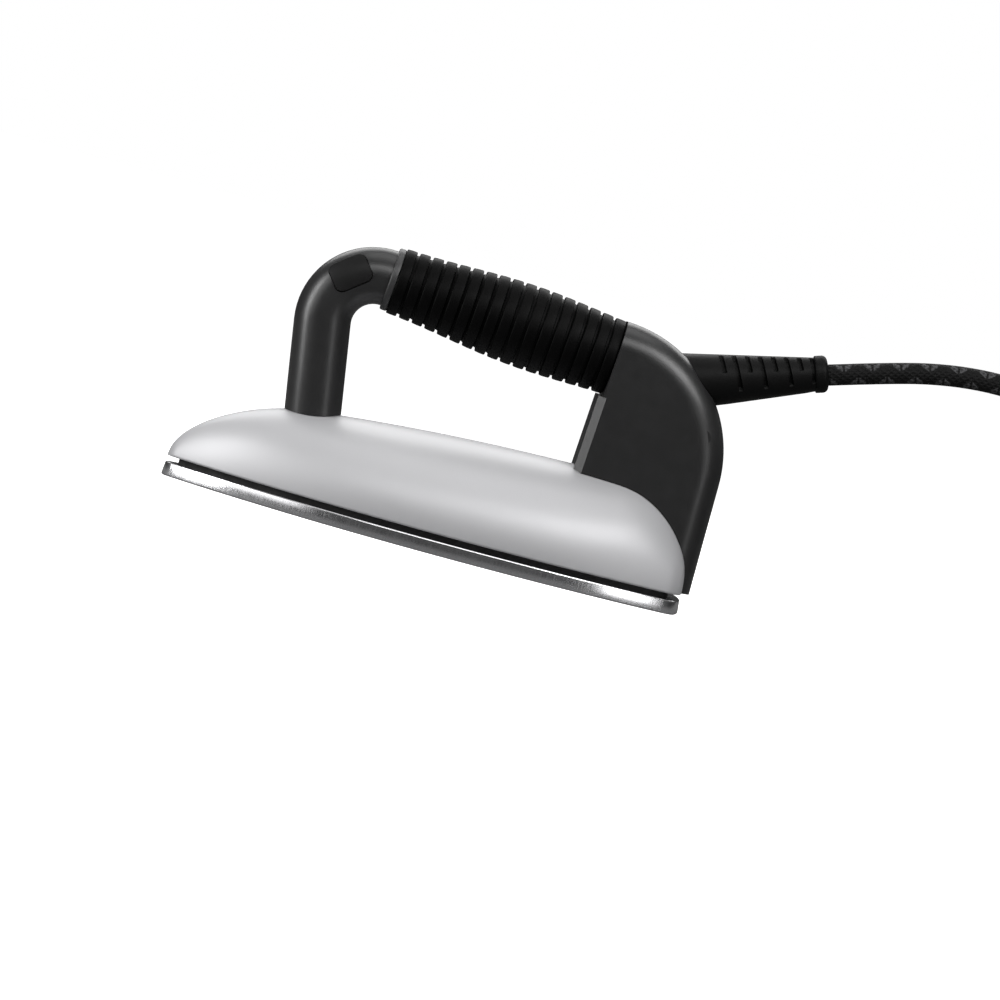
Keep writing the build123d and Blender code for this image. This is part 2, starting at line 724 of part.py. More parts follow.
def cord_cores():
    """The cord's three cores, from its jacket to the terminal block."""
    made = []
    for y in WAYS:
        start = relief_point(y * 0.4, CORD_INNER_END - 1.2)
        end = Vector(BLOCK_CENTRE.X - 8.3, y, BLOCK_CENTRE.Z - 1)
        knee = Vector(66.5, y * 0.8, 84.0)
        low = Vector(69.0, y, BLOCK_CENTRE.Z - 1)
        made.append(wire_run([start, knee, low, end], 0.9, 3.0))
    return Compound(made)


def relief_point(across, along):
    """A point in the strain relief's frame, in the object's."""
    return RELIEF_EXIT + Vector(0, across, 0) + RELIEF_AXIS * along


def earth_lead():
    """From the casting's earth screw up through the roof to the middle way of the block."""
    x, y = EARTH_POINT
    points = [(x + 3.6, y, CAST_TOP + 3.6), (x + 3.6, y, 28.5), (54.0, -5.0, 30.0), (72.0, 0.0, 31.0)]
    points += [(*HEEL_WIRE_HOLE, 37.0), (*HEEL_WIRE_HOLE, 58.0)]
    lug = Pos(x, y, CAST_TOP + 3.2) * Cylinder(3.2, 1.2)
    lug += Pos(x + 3.2, y, CAST_TOP + 3.4) * Box(4, 2.6, 1.6)
    return wire_run(points, 1.0, 2.5) + lug


def heater_leads():
    """From the element's pins up through the roof to the terminal block."""
    made = []
    for side in (-1, 1):
        x, y = RISER[0], side * RISER[1]
        pin = (x + 2.4, y, RISER_TOP + 5.2)
        goal = (HEEL_WIRE_HOLE[0], side * 2.6)
        points = [pin, (72.0, side * 21.5, 32.0), (84.5, side * 12.0, 33.0), (*goal, 38.5), (*goal, 58.0)]
        made.append(wire_run(points, 0.9, 2.5))
    return Compound(made)


def switch_leads():
    """One core from the block through the grip to the switch, and one on down the leg."""
    back = BUTTON.z_dir * (SWITCH_TOP - SWITCH_DEEP - 3.7)
    near = BUTTON.origin + BUTTON.x_dir * TERMINAL_APART + back
    far = BUTTON.origin - BUTTON.x_dir * TERMINAL_APART + back
    front = BEND_END - GRIP_AXIS * 6 + Vector(0, 4.6, 0)
    rear = BEND_END + GRIP_AXIS * (GRIP_LENGTH + 7) + Vector(0, 4.6, 0)
    drop = Vector(70.0, 6.4, 84.0)
    upper = wire_run([near, front, rear, drop, Vector(72.0, 7.0, 70.5)], 0.8, 3.0)
    x, y = LEG_WIRE_HOLE
    leg_top = BEND_START + Vector(0.5, 6.2, -3)
    lower = wire_run([far, leg_top, Vector(x, y, 60), Vector(x, y, 31)], 0.8, 4.0)
    return Compound([upper, lower])


# ---- the strain relief, the cord and its plug ----
COIL_LIFT = 1.2  # the coil lies on its tie
TURN_PITCH = CORD_DIAMETER + 0.1
COIL_CENTRE = (372.0, 0.0)
COIL_OUTER = 56.0  # the centre line of the outermost turn
COIL_LOW = COIL_LIFT + CORD_RADIUS
PLUG_X = 452.0
PLUG_START = 8.0
PLUG_RADIUS = 19.0
PLUG_LENGTH = 44.0
PIN_LENGTH = 19.0

# The cord's free stretch: out of the strain relief, over and down to the outermost turn of the coil.
CORD_ROUTE = [
    (73.5, 0.0, 91.4),
    (152.0, 0.0, 117.1),
    (211.0, 0.0, 133.1),
    (262.0, -4.0, 127.5),
    (294.0, -15.0, 96.0),
    (312.0, -31.0, 51.0),
    (326.0, -45.0, 20.0),
    (353.0, -55.7, 5.8),
]
# From the last turn to the plug.
TAIL_ROUTE = [
    (385.0, -51.1, 15.0),
    (408.0, -50.1, 15.1),
    (430.0, -40.0, 15.6),
    (448.0, -18.0, 17.4),
    (452.0, 8.0, 19.0),
]


def route_radii(points):
    """The largest arc that each corner's two runs allow."""
    radii = []
    for a, b, c in zip(points, points[1:], points[2:]):
        before, after = Vector(*b) - Vector(*a), Vector(*c) - Vector(*b)
        turn = math.radians(before.get_angle(after))
        radii.append(0.45 * min(before.length, after.length) / math.tan(turn / 2))
    return radii


def cord_tube(points, name):
    """A stretch of cord along straight runs joined by arcs; it prints its radii, length and volume."""
    radii = route_radii(points)
    path = FilletPolyline(*points, radius=radii)
    solid = tube_along(path, CORD_RADIUS)
    section = math.pi * CORD_RADIUS**2
    print(name, "radii", [round(r) for r in radii], "length", round(path.length, 1))
    print(name, "volume over section times length", round(solid.volume / (section * path.length), 4))
    return solid


SLOT_COUNT = 8
SLOT_START = 9.7
SLOT_PITCH = 5.6
SLOT_WIDE = 1.8
SLOT_DEEP = 1.7
WING_ALONG = -11.0  # the middle of the relief's wings, inside the housing
RELIEF_BACK = -9.0


def relief_slot(i):
    """One of the slots that let the relief bend: a short one over the top, or a long one down each side."""
    along = SLOT_START + SLOT_PITCH * i
    skin = RELIEF_ROOT - (RELIEF_ROOT - RELIEF_TIP) * along / RELIEF_TAPER
    groove = Cylinder(RELIEF_ROOT + 1, SLOT_WIDE) - Cylinder(skin - SLOT_DEEP, SLOT_WIDE + 1)
    if i % 2 == 0:
        groove &= Pos(0, 20, 0) * Box(9, 40, 3)
    else:
        groove -= Box(9, 60, 3)
    return Pos(0, 0, along) * groove


def strain_relief():
    """A tapered rubber sleeve, slotted so that it bends, with wings behind the housing's wall."""
    bore = CORD_RADIUS + BORE_GAP
    profile = [(bore, RELIEF_BACK), (RELIEF_ROOT, RELIEF_BACK), (RELIEF_ROOT, 0.0)]
    profile.append((RELIEF_TIP, RELIEF_TAPER))
    profile += [(RELIEF_END_RING, RELIEF_TAPER + 0.8), (RELIEF_END_RING, RELIEF_LENGTH - 1.5)]
    profile += [(RELIEF_END_RING - 1.5, RELIEF_LENGTH), (bore, RELIEF_LENGTH)]
    body = revolve(Plane.XZ * make_face(Polyline(*profile, close=True)), Axis.Z)
    for i in range(SLOT_COUNT):
        body -= relief_slot(i)
    body += Pos(0, -3.0, WING_ALONG) * Box(26, 10, 4)
    body -= Pos(0, 0, RELIEF_BACK - 1) * Cylinder(bore, 12)
    return RELIEF_PLANE * body


def cord():
    """From inside the support to the coil."""
    return cord_tube(CORD_ROUTE, "cord")


def cord_end():
    """From the coil to the plug."""
    return cord_tube(TAIL_ROUTE, "cord_end")


def cord_coil():
    """The outer shape of the put-away turns: three below and two above."""
    low, high = COIL_LIFT, COIL_LIFT + CORD_DIAMETER
    inner = COIL_OUTER - 2 * TURN_PITCH - CORD_RADIUS
    outer = COIL_OUTER + CORD_RADIUS
    points = [(inner, low), (outer, low), (outer, high), (outer - CORD_RADIUS, high + CORD_DIAMETER)]
    points += [(inner + CORD_RADIUS, high + CORD_DIAMETER), (inner, high)]
    return Pos(*COIL_CENTRE, 0) * revolve(Plane.XZ * make_face(Polyline(*points, close=True)), Axis.Z)


def coil_tie():
    """A strap round the bundle of turns, on the side away from the iron's heel."""
    inner = COIL_OUTER - 2 * TURN_PITCH - CORD_RADIUS
    middle = (inner + COIL_OUTER + CORD_RADIUS) / 2
    wide = COIL_OUTER + CORD_RADIUS - inner + 1.0
    tall = 2 * CORD_DIAMETER + 0.4
    strap = Pos(0, 0, tall / 2 + COIL_LIFT) * (Box(wide + 2.2, 9.0, tall + 2.2) - Box(wide, 12.0, tall + 0.2))
    return Pos(COIL_CENTRE[0], COIL_CENTRE[1], 0) * Rot(0, 0, 75) * Pos(middle, 0, -0.1) * strap


def plug_frame():
    """Z along the plug, from where the cord enters it towards its pins."""
    return Plane((PLUG_X, PLUG_START, PLUG_RADIUS), x_dir=(1, 0, 0), z_dir=(0, 1, 0))


def plug_body():
    """A round two-pin earthed plug with a moulded tail."""
    points = [(0, 0), (6.2, 0), (8.0, 16.0), (PLUG_RADIUS - 3, 22.0), (PLUG_RADIUS, 26.0)]
    points += [(PLUG_RADIUS, PLUG_LENGTH), (0, PLUG_LENGTH)]
    return plug_frame() * revolve(Plane.XZ * make_face(Polyline(*points, close=True)), Axis.Z)


def plug_pins():
    pin = Cylinder(2.4, PIN_LENGTH)
    return Compound([plug_frame() * Pos(x, 0, PLUG_LENGTH + PIN_LENGTH / 2) * pin for x in (-9.5, 9.5)])


def plug_earth_clips():
    """The two earth contacts, in the plug's rim."""
    clip = Box(5.0, 1.0, 4.0)
    return Compound([plug_frame() * Pos(0, s * (PLUG_RADIUS - 3.0), PLUG_LENGTH + 2) * clip for s in (-1, 1)])


def make_parts():
    outer = cover_solid(COVER_STEPS, 0.0)
    cavity = cover_solid(CAVITY_STEPS, COVER_WALL)
    shell = support_shell(outer)
    return {
        "sole_plate": sole_plate(),
        "sole_gasket": sole_gasket(),
        "heater_casting": heater_casting(),
        "heating_element": heating_element(),
        "terminal_beads": terminal_beads(),
        "element_pins": element_pins(),
        "studs": studs(),
        "posts": posts(),
        "heat_shield": heat_shield(),
        "shield_washers": shield_washers(),
        "thermostat": thermostat(),
        "thermostat_tabs": thermostat_tabs(),
        "thermostat_screws": thermostat_screws(),
        "thermal_fuse": thermal_fuse(),
        "fuse_clip": fuse_clip(),
        "earth_screw": earth_screw(),
        "cover": cover(outer, cavity),
        "cover_screws": cover_screws(),
        "front_leg": front_leg(outer),
        "thumb_button": thumb_button(),
        "switch_plunger": switch_plunger(),
        "button_spring": button_spring(),
        "switch_body": switch_body(),
        "switch_bracket": switch_bracket(),
        "switch_terminals": switch_terminals(),
        "collar_ring": collar_ring(),
        "grip_sleeve": grip_sleeve(),
        "grip_core": grip_core(),
        "rear_support_left": rear_support_left(shell),
        "rear_support_right": rear_support_right(shell),
        "support_screws": support_screws(),
        "terminal_block": terminal_block(),
        "terminal_screws": terminal_screws(),
        "cord_clamp": cord_clamp(),
        "clamp_screws": clamp_screws(),
        "cord_cores": cord_cores(),
        "earth_lead": earth_lead(),
        "heater_leads": heater_leads(),
        "switch_leads": switch_leads(),
        "strain_relief": strain_relief(),
        "cord": cord(),
        "cord_coil": cord_coil(),
        "coil_tie": coil_tie(),
        "cord_end": cord_end(),
        "plug_body": plug_body(),
        "plug_pins": plug_pins(),
        "plug_earth_clips": plug_earth_clips(),
    }


os.makedirs("parts", exist_ok=True)
for name, shape in make_parts().items():
    export_step(shape, f"parts/{name}.step")
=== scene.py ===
import json
import math

import bmesh
import bpy
from mathutils import Matrix, Vector


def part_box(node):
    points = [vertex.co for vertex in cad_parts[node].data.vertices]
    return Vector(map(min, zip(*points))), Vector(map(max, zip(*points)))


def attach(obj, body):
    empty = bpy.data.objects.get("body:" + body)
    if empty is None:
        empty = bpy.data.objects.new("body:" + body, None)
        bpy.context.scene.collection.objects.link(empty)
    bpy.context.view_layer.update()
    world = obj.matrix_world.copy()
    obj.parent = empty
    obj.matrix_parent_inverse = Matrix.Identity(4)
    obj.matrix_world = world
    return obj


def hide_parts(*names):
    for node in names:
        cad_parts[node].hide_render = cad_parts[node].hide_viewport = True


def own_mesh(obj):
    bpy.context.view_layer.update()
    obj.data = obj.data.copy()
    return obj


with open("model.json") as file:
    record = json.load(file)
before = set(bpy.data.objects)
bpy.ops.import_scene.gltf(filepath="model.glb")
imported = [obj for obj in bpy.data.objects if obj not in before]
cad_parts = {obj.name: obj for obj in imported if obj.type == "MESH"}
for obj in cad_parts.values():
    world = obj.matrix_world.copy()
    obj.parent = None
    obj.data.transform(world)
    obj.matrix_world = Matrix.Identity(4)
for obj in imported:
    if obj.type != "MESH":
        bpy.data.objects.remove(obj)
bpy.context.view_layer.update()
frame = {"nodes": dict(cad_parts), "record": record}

# A dry clothes iron, in metres. The nose points along -X, the thumb button is on the -Y side.
MM = 0.001


# ---------------------------------------------------------------- camera
def make_camera():
    """A long lens, low and square to the iron's left side, rolled so that the nose rides up."""
    target = Vector((0.0272, 0.0, 0.0269))
    distance = 2.0
    width_at_target = 0.4307
    azimuth, elevation, roll = math.radians(-2.7), math.radians(3.0), math.radians(15.21)
    away = Vector(
        (
            math.sin(azimuth) * math.cos(elevation),
            -math.cos(azimuth) * math.cos(elevation),
            math.sin(elevation),
        )
    )
    camera = bpy.data.objects.new("camera", bpy.data.cameras.new("camera"))
    camera.data.sensor_width = 36.0
    camera.data.lens = camera.data.sensor_width * distance / width_at_target
    camera.data.clip_end = 200.0
    turn = (-away).to_track_quat("-Z", "Y").to_matrix() @ Matrix.Rotation(roll, 3, "Z")
    camera.matrix_world = Matrix.LocRotScale(target + away * distance, turn, None)
    bpy.context.scene.collection.objects.link(camera)
    bpy.context.scene.camera = camera


# ---------------------------------------------------------------- mesh helpers
def add_object(name, data):
    """A new object, in the scene."""
    piece = bpy.data.objects.new(name, data)
    bpy.context.scene.collection.objects.link(piece)
    return piece


def mesh_object(name, points, faces):
    """A smooth-shaded mesh of these points and faces, in the scene."""
    mesh = bpy.data.meshes.new(name)
    mesh.from_pydata([tuple(p) for p in points], [], faces)
    mesh.validate()
    mesh.polygons.foreach_set("use_smooth", [True] * len(mesh.polygons))
    mesh.update()
    return add_object(name, mesh)


def grid_faces(rows, columns, close_rows=False, close_columns=False):
    """Quads over rows of points, row by row; either way round can close on itself."""
    faces = []
    for i in range(rows if close_rows else rows - 1):
        for j in range(columns if close_columns else columns - 1):
            a, b = (i % rows) * columns, ((i + 1) % rows) * columns
            faces.append((a + j, a + (j + 1) % columns, b + (j + 1) % columns, b + j))
    return faces


def lofted(name, rings):
    """A surface through closed rings that all have the same number of points, capped at both ends."""
    points = [p for ring in rings for p in ring]
    count = len(rings[0])
    faces = grid_faces(len(rings), count, close_columns=True)
    faces.append(tuple(reversed(range(count))))
    faces.append(tuple(range(len(points) - count, len(points))))
    return mesh_object(name, points, faces)


def hoop(name, rings):
    """A surface through closed rings, the last of which joins the first."""
    points = [p for ring in rings for p in ring]
    faces = grid_faces(len(rings), len(rings[0]), close_rows=True, close_columns=True)
    piece = mesh_object(name, points, faces)
    smooth_by_angle(piece, degrees=50)
    return piece


def turned(profile, place, turns=96):
    """Rings from (distance along, radius) pairs, round place's Z."""
    rings = []
    for along, radius in profile:
        ring = []
        for j in range(turns):
            angle = 2 * math.pi * j / turns
            ring.append(place @ Vector((radius * math.cos(angle), radius * math.sin(angle), along)))
        rings.append(ring)
    return rings


def smooth_by_angle(piece, degrees=40):
    """Marks the sharp edges, so that flat faces stay flat and round ones stay round."""
    mesh = piece.data
    mesh.polygons.foreach_set("use_smooth", [True] * len(mesh.polygons))
    mesh.set_sharp_from_angle(angle=math.radians(degrees))


def weld(piece, distance=0.002 * MM):
    """Joins points that fall together, as where a surface closes at its ends."""
    mesh = bmesh.new()
    mesh.from_mesh(piece.data)
    bmesh.ops.remove_doubles(mesh, verts=mesh.verts, dist=distance)
    mesh.to_mesh(piece.data)
    mesh.free()


def frame_along(axis, across):
    """A rotation whose Z is axis and whose X is as near across as it can be."""
    z = Vector(axis).normalized()
    y = z.cross(Vector(across)).normalized()
    return Matrix((y.cross(z), y, z)).transposed()


def placed(origin, axis, across):
    """A transform whose origin is origin and whose Z runs along axis."""
    return Matrix.Translation(origin) @ frame_along(axis, across).to_4x4()


def rounded_corner(along, radius, size, first, steps=4):
    """Points round a quarter circle whose middle is at (along, radius), from first degrees, clockwise."""
    made = []
    for k in range(steps + 1):
        angle = math.radians(first - 90 * k / steps)
        made.append((along + size * math.cos(angle), radius + size * math.sin(angle)))
    return made


def rounded_loop(low, high, corner, steps=8):
    """The outline of a rectangle from low to high with round corners."""
    corners = ((high[0], high[1], 0), (low[0], high[1], 90), (low[0], low[1], 180), (high[0], low[1], 270))
    loop = []
    for x, y, first in corners:
        centre_x = x - math.copysign(corner, x - low[0] - corner)
        centre_y = y - math.copysign(corner, y - low[1] - corner)
        for k in range(steps + 1):
            angle = math.radians(first + 90 * k / steps)
            loop.append((centre_x + corner * math.cos(angle), centre_y + corner * math.sin(angle)))
    return loop


# ---------------------------------------------------------------- the cord's route
CORD_DIAMETER = 9.2 * MM
CORD_RADIUS = CORD_DIAMETER / 2
RELIEF_EXIT = Vector((0.0963, 0.0, 0.0989))
RELIEF_RISE = math.radians(18.1)
RELIEF_AXIS = Vector((math.cos(RELIEF_RISE), 0.0, math.sin(RELIEF_RISE)))
COIL_CENTRE = (0.372, 0.0)
COIL_OUTER = 0.056
TURN_PITCH = CORD_DIAMETER + 0.1 * MM
COIL_LOW = 5.8 * MM
COIL_HIGH = COIL_LOW + TURN_PITCH
TURN_POINTS = 16
TURN_CHANGE = 0.62  # how far round a turn the cord starts to move to the next one
FIRST_TURN = math.radians(-90) + 0.17
CORD_STEP = 0.8 * MM
CORD_SIDES = 32

CORD_ROUTE = [
    (0.0735, 0.0, 0.0914),
    (0.1520, 0.0, 0.1171),
    (0.2110, 0.0, 0.1331),
    (0.2620, -0.0040, 0.1275),
    (0.2940, -0.0150, 0.0960),
    (0.3120, -0.0310, 0.0510),
    (0.3260, -0.0450, 0.0200),
    (0.3530, -0.0557, 0.0058),
]
TAIL_ROUTE = [
    (0.3850, -0.0511, 0.0150),
    (0.4080, -0.0501, 0.0151),
    (0.4300, -0.0400, 0.0156),
    (0.4480, -0.0180, 0.0174),
    (0.4520, 0.0080, 0.0190),
]


def eased(t):
    """A smooth step from 0 to 1 as t goes from 0 to 1."""
    t = min(max(t, 0.0), 1.0)
    return t * t * (3 - 2 * t)


def coil_points():
    """Five turns anticlockwise from the -Y side: three below, working inwards, and two above, outwards."""
    levels = [(0, COIL_LOW), (1, COIL_LOW), (2, COIL_LOW), (1.5, COIL_HIGH), (0.5, COIL_HIGH)]
    levels.append(levels[-1])
    points = []
    for turn in range(5):
        step, height = levels[turn]
        next_step, next_height = levels[turn + 1]
        for k in range(TURN_POINTS):
            share = k / TURN_POINTS
            change = eased((share - TURN_CHANGE) / (1 - TURN_CHANGE))
            radius = COIL_OUTER - TURN_PITCH * (step + (next_step - step) * change)
            radius /= math.cos(math.pi / TURN_POINTS) ** 0.5
            angle = FIRST_TURN + 2 * math.pi * share
            z = height + (next_height - height) * change
            points.append(
                (
                    COIL_CENTRE[0] + radius * math.cos(angle),
                    COIL_CENTRE[1] + radius * math.sin(angle),
                    z,
                )
            )
    return points


def nurbs_line(points):
    """The smooth line of a NURBS spline with these control points, as a list of places."""
    curve = bpy.data.curves.new("route", "CURVE")
    curve.dimensions = "3D"
    curve.resolution_u = 12
    spline = curve.splines.new("NURBS")
    spline.points.add(len(points) - 1)
    for point, place in zip(spline.points, points):
        point.co = (*place, 1.0)
    spline.order_u = 3
    spline.use_endpoint_u = True
    holder = bpy.data.objects.new("route", curve)
    mesh = bpy.data.meshes.new_from_object(holder)
    line = [v.co.copy() for v in mesh.vertices]
    bpy.data.meshes.remove(mesh)
    bpy.data.objects.remove(holder)
    bpy.data.curves.remove(curve)
    return line


def distances(line):
    """How far along the line each of its points is."""
    along = [0.0]
    for a, b in zip(line, line[1:]):
        along.append(along[-1] + (b - a).length)
    return along


def respaced(line, step):
    """The line again, with its points evenly about step apart, and its length."""
    along = distances(line)
    count = max(2, round(along[-1] / step))
    out, k = [], 0
    for i in range(count + 1):
        s = along[-1] * i / count
        while k < len(line) - 2 and along[k + 1] < s:
            k += 1
        span = max(along[k + 1] - along[k], 1e-9)
        out.append(line[k].lerp(line[k + 1], min(max((s - along[k]) / span, 0.0), 1.0)))
    return out, along[-1]


def tube_mesh(name, line, radius, turns):
    """A tube along line whose UVs are metres along and a share of the way round."""
    ahead_of = [*line[1:], line[-1]]
    behind = [line[0], *line[:-1]]
    directions = [(a - b).normalized() for a, b in zip(ahead_of, behind)]
    side = Vector((0, 1, 0))
    rings = []
    for place, ahead in zip(line, directions):
        side = (side - ahead * side.dot(ahead)).normalized()
        up = ahead.cross(side)
        ring = []
        for j in range(turns):
            angle = 2 * math.pi * j / turns
            ring.append(place + (side * math.cos(angle) + up * math.sin(angle)) * radius)
        rings.append(ring)
    piece = lofted(name, rings)
    along = distances(line)
    layer = piece.data.uv_layers.new(name="along")
    for polygon in piece.data.polygons:
        columns = [piece.data.loops[i].vertex_index % turns for i in polygon.loop_indices]
        wraps = len(polygon.loop_indices) == 4 and max(columns) - min(columns) > 1
        for loop in polygon.loop_indices:
            vertex = piece.data.loops[loop].vertex_index
            column = vertex % turns
            share = (column + (turns if wraps and column == 0 else 0)) / turns
            layer.data[loop].uv = (along[vertex // turns], share)
    return piece


def make_cord():
    """The lead as a tube along the smooth line of its whole route, with that line and its length."""
    line, length = respaced(nurbs_line([*CORD_ROUTE, *coil_points(), *TAIL_ROUTE]), CORD_STEP)
    return tube_mesh("braided_lead", line, CORD_RADIUS, CORD_SIDES), line, length


make_camera()
cord_piece, cord_line, cord_length = make_cord()
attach(cord_piece, "root")
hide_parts("cord", "cord_coil", "cord_end")


# ---------------------------------------------------------------- materials
class Finish:
    """A material being made: its node tree, its Principled shader and short ways to add nodes."""

    def __init__(self, name, **values):
        """values are the shader's fixed values, with _ for a space in a socket's name."""
        self.material = bpy.data.materials.new(name)
        self.material.use_nodes = True
        self.tree = self.material.node_tree
        self.shader = self.tree.nodes["Principled BSDF"]
        for socket, value in values.items():
            self.shader.inputs[socket.replace("_", " ")].default_value = value

    def node(self, kind, values=None, **settings):
        """A new node: settings are its properties, and values what goes into its sockets."""
        made = self.tree.nodes.new("ShaderNode" + kind)
        for key, value in settings.items():
            setattr(made, key, value)
        for key, value in (values or {}).items():
            self.put(made.inputs[key], value)
        return made

    def put(self, socket, value):
        """Links value to a socket if it comes from another node, or sets it."""
        if isinstance(value, bpy.types.NodeSocket):
            self.tree.links.new(value, socket)
        else:
            socket.default_value = value

    def math(self, operation, *values, clamp=False):
        """The result of a Math node."""
        return self.node("Math", dict(enumerate(values)), operation=operation, use_clamp=clamp).outputs[0]

    def places(self, stretch=(1.0, 1.0, 1.0)):
        """Places on the piece, in metres times stretch."""
        where = self.node("TexCoord").outputs["Object"]
        return self.node("Mapping", {"Vector": where, "Scale": stretch}).outputs["Vector"]

    def noise(self, size, detail=3.0, stretch=(1.0, 1.0, 1.0)):
        """A noise whose grains are about size metres."""
        values = {"Vector": self.places(stretch), "Scale": 1 / size, "Detail": detail}
        return self.node("TexNoise", values).outputs["Fac"]

    def between(self, factor, low, high):
        """The noise factor spread from low to high."""
        values = {"Value": factor, "From Min": 0.3, "From Max": 0.7, "To Min": low, "To Max": high}
        return self.node("MapRange", values).outputs["Result"]

    def edge(self, value, outside, inside):
        """1 where value is past inside, 0 where it is past outside, and a soft step between."""
        values = {"Value": value, "From Min": outside, "From Max": inside}
        return self.node("MapRange", values, interpolation_type="SMOOTHSTEP").outputs["Result"]

    def colours(self, factor, first, second):
        """A colour from first to second as factor goes from 0 to 1."""
        mix = self.node("Mix", data_type="RGBA")
        self.put(mix.inputs[0], factor)
        self.put(mix.inputs[6], (*first, 1.0))
        self.put(mix.inputs[7], (*second, 1.0))
        return mix.outputs[2]

    def bump(self, height, depth, under=None):
        """A surface raised by height times depth metres, over another bump if under is given."""
        values = {"Height": height, "Distance": depth}
        if under is not None:
            values["Normal"] = under
        return self.node("Bump", values).outputs["Normal"]

    def done(self, colour, roughness, normal):
        """The material, with these on its shader."""
        self.put(self.shader.inputs["Base Color"], colour)
        self.put(self.shader.inputs["Roughness"], roughness)
        self.put(self.shader.inputs["Normal"], normal)
        return self.material


def metal(name, dark, light, rough):
    """Bare metal: its colour varies in patches and its gloss with a fine grain."""
    finish = Finish(name, Metallic=1.0)
    patches = finish.noise(9 * MM)
    grain = finish.noise(0.6 * MM)
    return finish.done(
        finish.colours(patches, dark, light),
        finish.between(grain, *rough),
        finish.bump(grain, 0.004 * MM),
    )


def plastic(name, dark, light, rough):
    """Moulded plastic or rubber with a fine texture."""
    finish = Finish(name)
    patches = finish.noise(14 * MM, detail=5.0)
    texture = finish.noise(0.45 * MM, detail=2.0)
    return finish.done(
        finish.colours(patches, dark, light),
        finish.between(finish.noise(5 * MM), *rough),
        finish.bump(texture, 0.012 * MM),
    )


def grey(value, blue=0.0):
    """A grey whose blue is that share stronger."""
    return (value, value, value * (1 + blue))


def polished_steel():
    """Chrome, with the fine upright marks that polishing leaves round its edge."""
    finish = Finish("polished_steel", Metallic=1.0)
    marks = finish.noise(0.35 * MM, detail=4.0, stretch=(1.0, 1.0, 0.06))
    smears = finish.noise(20 * MM, detail=4.0)
    return finish.done(
        finish.colours(smears, grey(0.66, 0.02), grey(0.76, 0.02)),
        finish.between(marks, 0.13, 0.24),
        finish.bump(marks, 0.003 * MM),
    )


def silver_cover():
    """Satin silver lacquer: metal flakes under a clear coat with a slight orange peel."""
    finish = Finish("silver_cover", Metallic=0.25, Coat_Weight=0.2, Coat_Roughness=0.3)
    flakes = finish.noise(0.12 * MM, detail=2.0)
    patches = finish.noise(60 * MM, detail=2.0)
    shade = finish.math("MULTIPLY", finish.math("ADD", flakes, patches), 0.5)
    peel = finish.noise(1.3 * MM, detail=1.0)
    fine = finish.bump(flakes, 0.004 * MM)
    return finish.done(
        finish.colours(shade, grey(0.39, 0.02), grey(0.47, 0.03)),
        finish.between(flakes, 0.42, 0.54),
        finish.bump(peel, 0.004 * MM, under=fine),
    )


def braided_cord():
    """Black textile braid with grey tracer yarns that surface in two staggered rows of chevrons, with
    painted shade that dims the flecks between the yarns.
    """
    finish = Finish("braided_cord", IOR=1.25)
    split = finish.node("SeparateXYZ", {"Vector": finish.node("UVMap", uv_map="along").outputs["UV"]})
    along, share = split.outputs["X"], split.outputs["Y"]
    yarns_round, yarns_a_metre = 12.0, 3 / (9.5 * MM)
    rows, fleck_pitch = 4.0, 12.35 * MM
    around_it = finish.math("MULTIPLY", share, yarns_round)
    forward = finish.math("MULTIPLY", along, yarns_a_metre)
    yarns = []
    for lean in ("ADD", "SUBTRACT"):
        wave = finish.math("MULTIPLY", finish.math(lean, forward, around_it), 2 * math.pi)
        yarns.append(finish.math("SINE", wave))
    weave = finish.math("MAXIMUM", *yarns)
    row = finish.math("MULTIPLY", share, rows)
    odd = finish.math("MODULO", finish.math("FLOOR", row), 2.0)
    stagger = finish.math("MULTIPLY", odd, 0.5)
    cell = finish.math("ADD", finish.math("DIVIDE", along, fleck_pitch), stagger)
    across = finish.math("SUBTRACT", finish.math("FRACT", row), 0.5)
    ahead = finish.math("ABSOLUTE", finish.math("SUBTRACT", finish.math("FRACT", cell), 0.5))
    flip = finish.math("MULTIPLY_ADD", odd, 2.0, -1.0)
    arm = finish.math("MULTIPLY", finish.math("SUBTRACT", ahead, 0.13), 1.3)
    slant = finish.math("MULTIPLY", arm, flip)
    near = finish.math("ABSOLUTE", finish.math("ADD", across, slant))
    tracer = finish.math("MULTIPLY", finish.edge(near, 0.24, 0.16), finish.edge(ahead, 0.30, 0.24))
    tracer = finish.math("MULTIPLY", tracer, finish.edge(ahead, 0.02, 0.06))
    # painted shade: the tracer flecks are made darker where the weave dips between yarns, on top of the real
    # tracer pattern
    shade = finish.math("MULTIPLY", tracer, finish.math("MULTIPLY_ADD", weave, 0.4, 0.6, clamp=True))
    fibres = finish.noise(0.25 * MM, detail=3.0)
    return finish.done(
        finish.colours(shade, grey(0.004), grey(0.060, 0.04)),
        finish.between(fibres, 0.62, 0.8),
        finish.bump(weave, 0.16 * MM, under=finish.bump(fibres, 0.03 * MM)),
    )


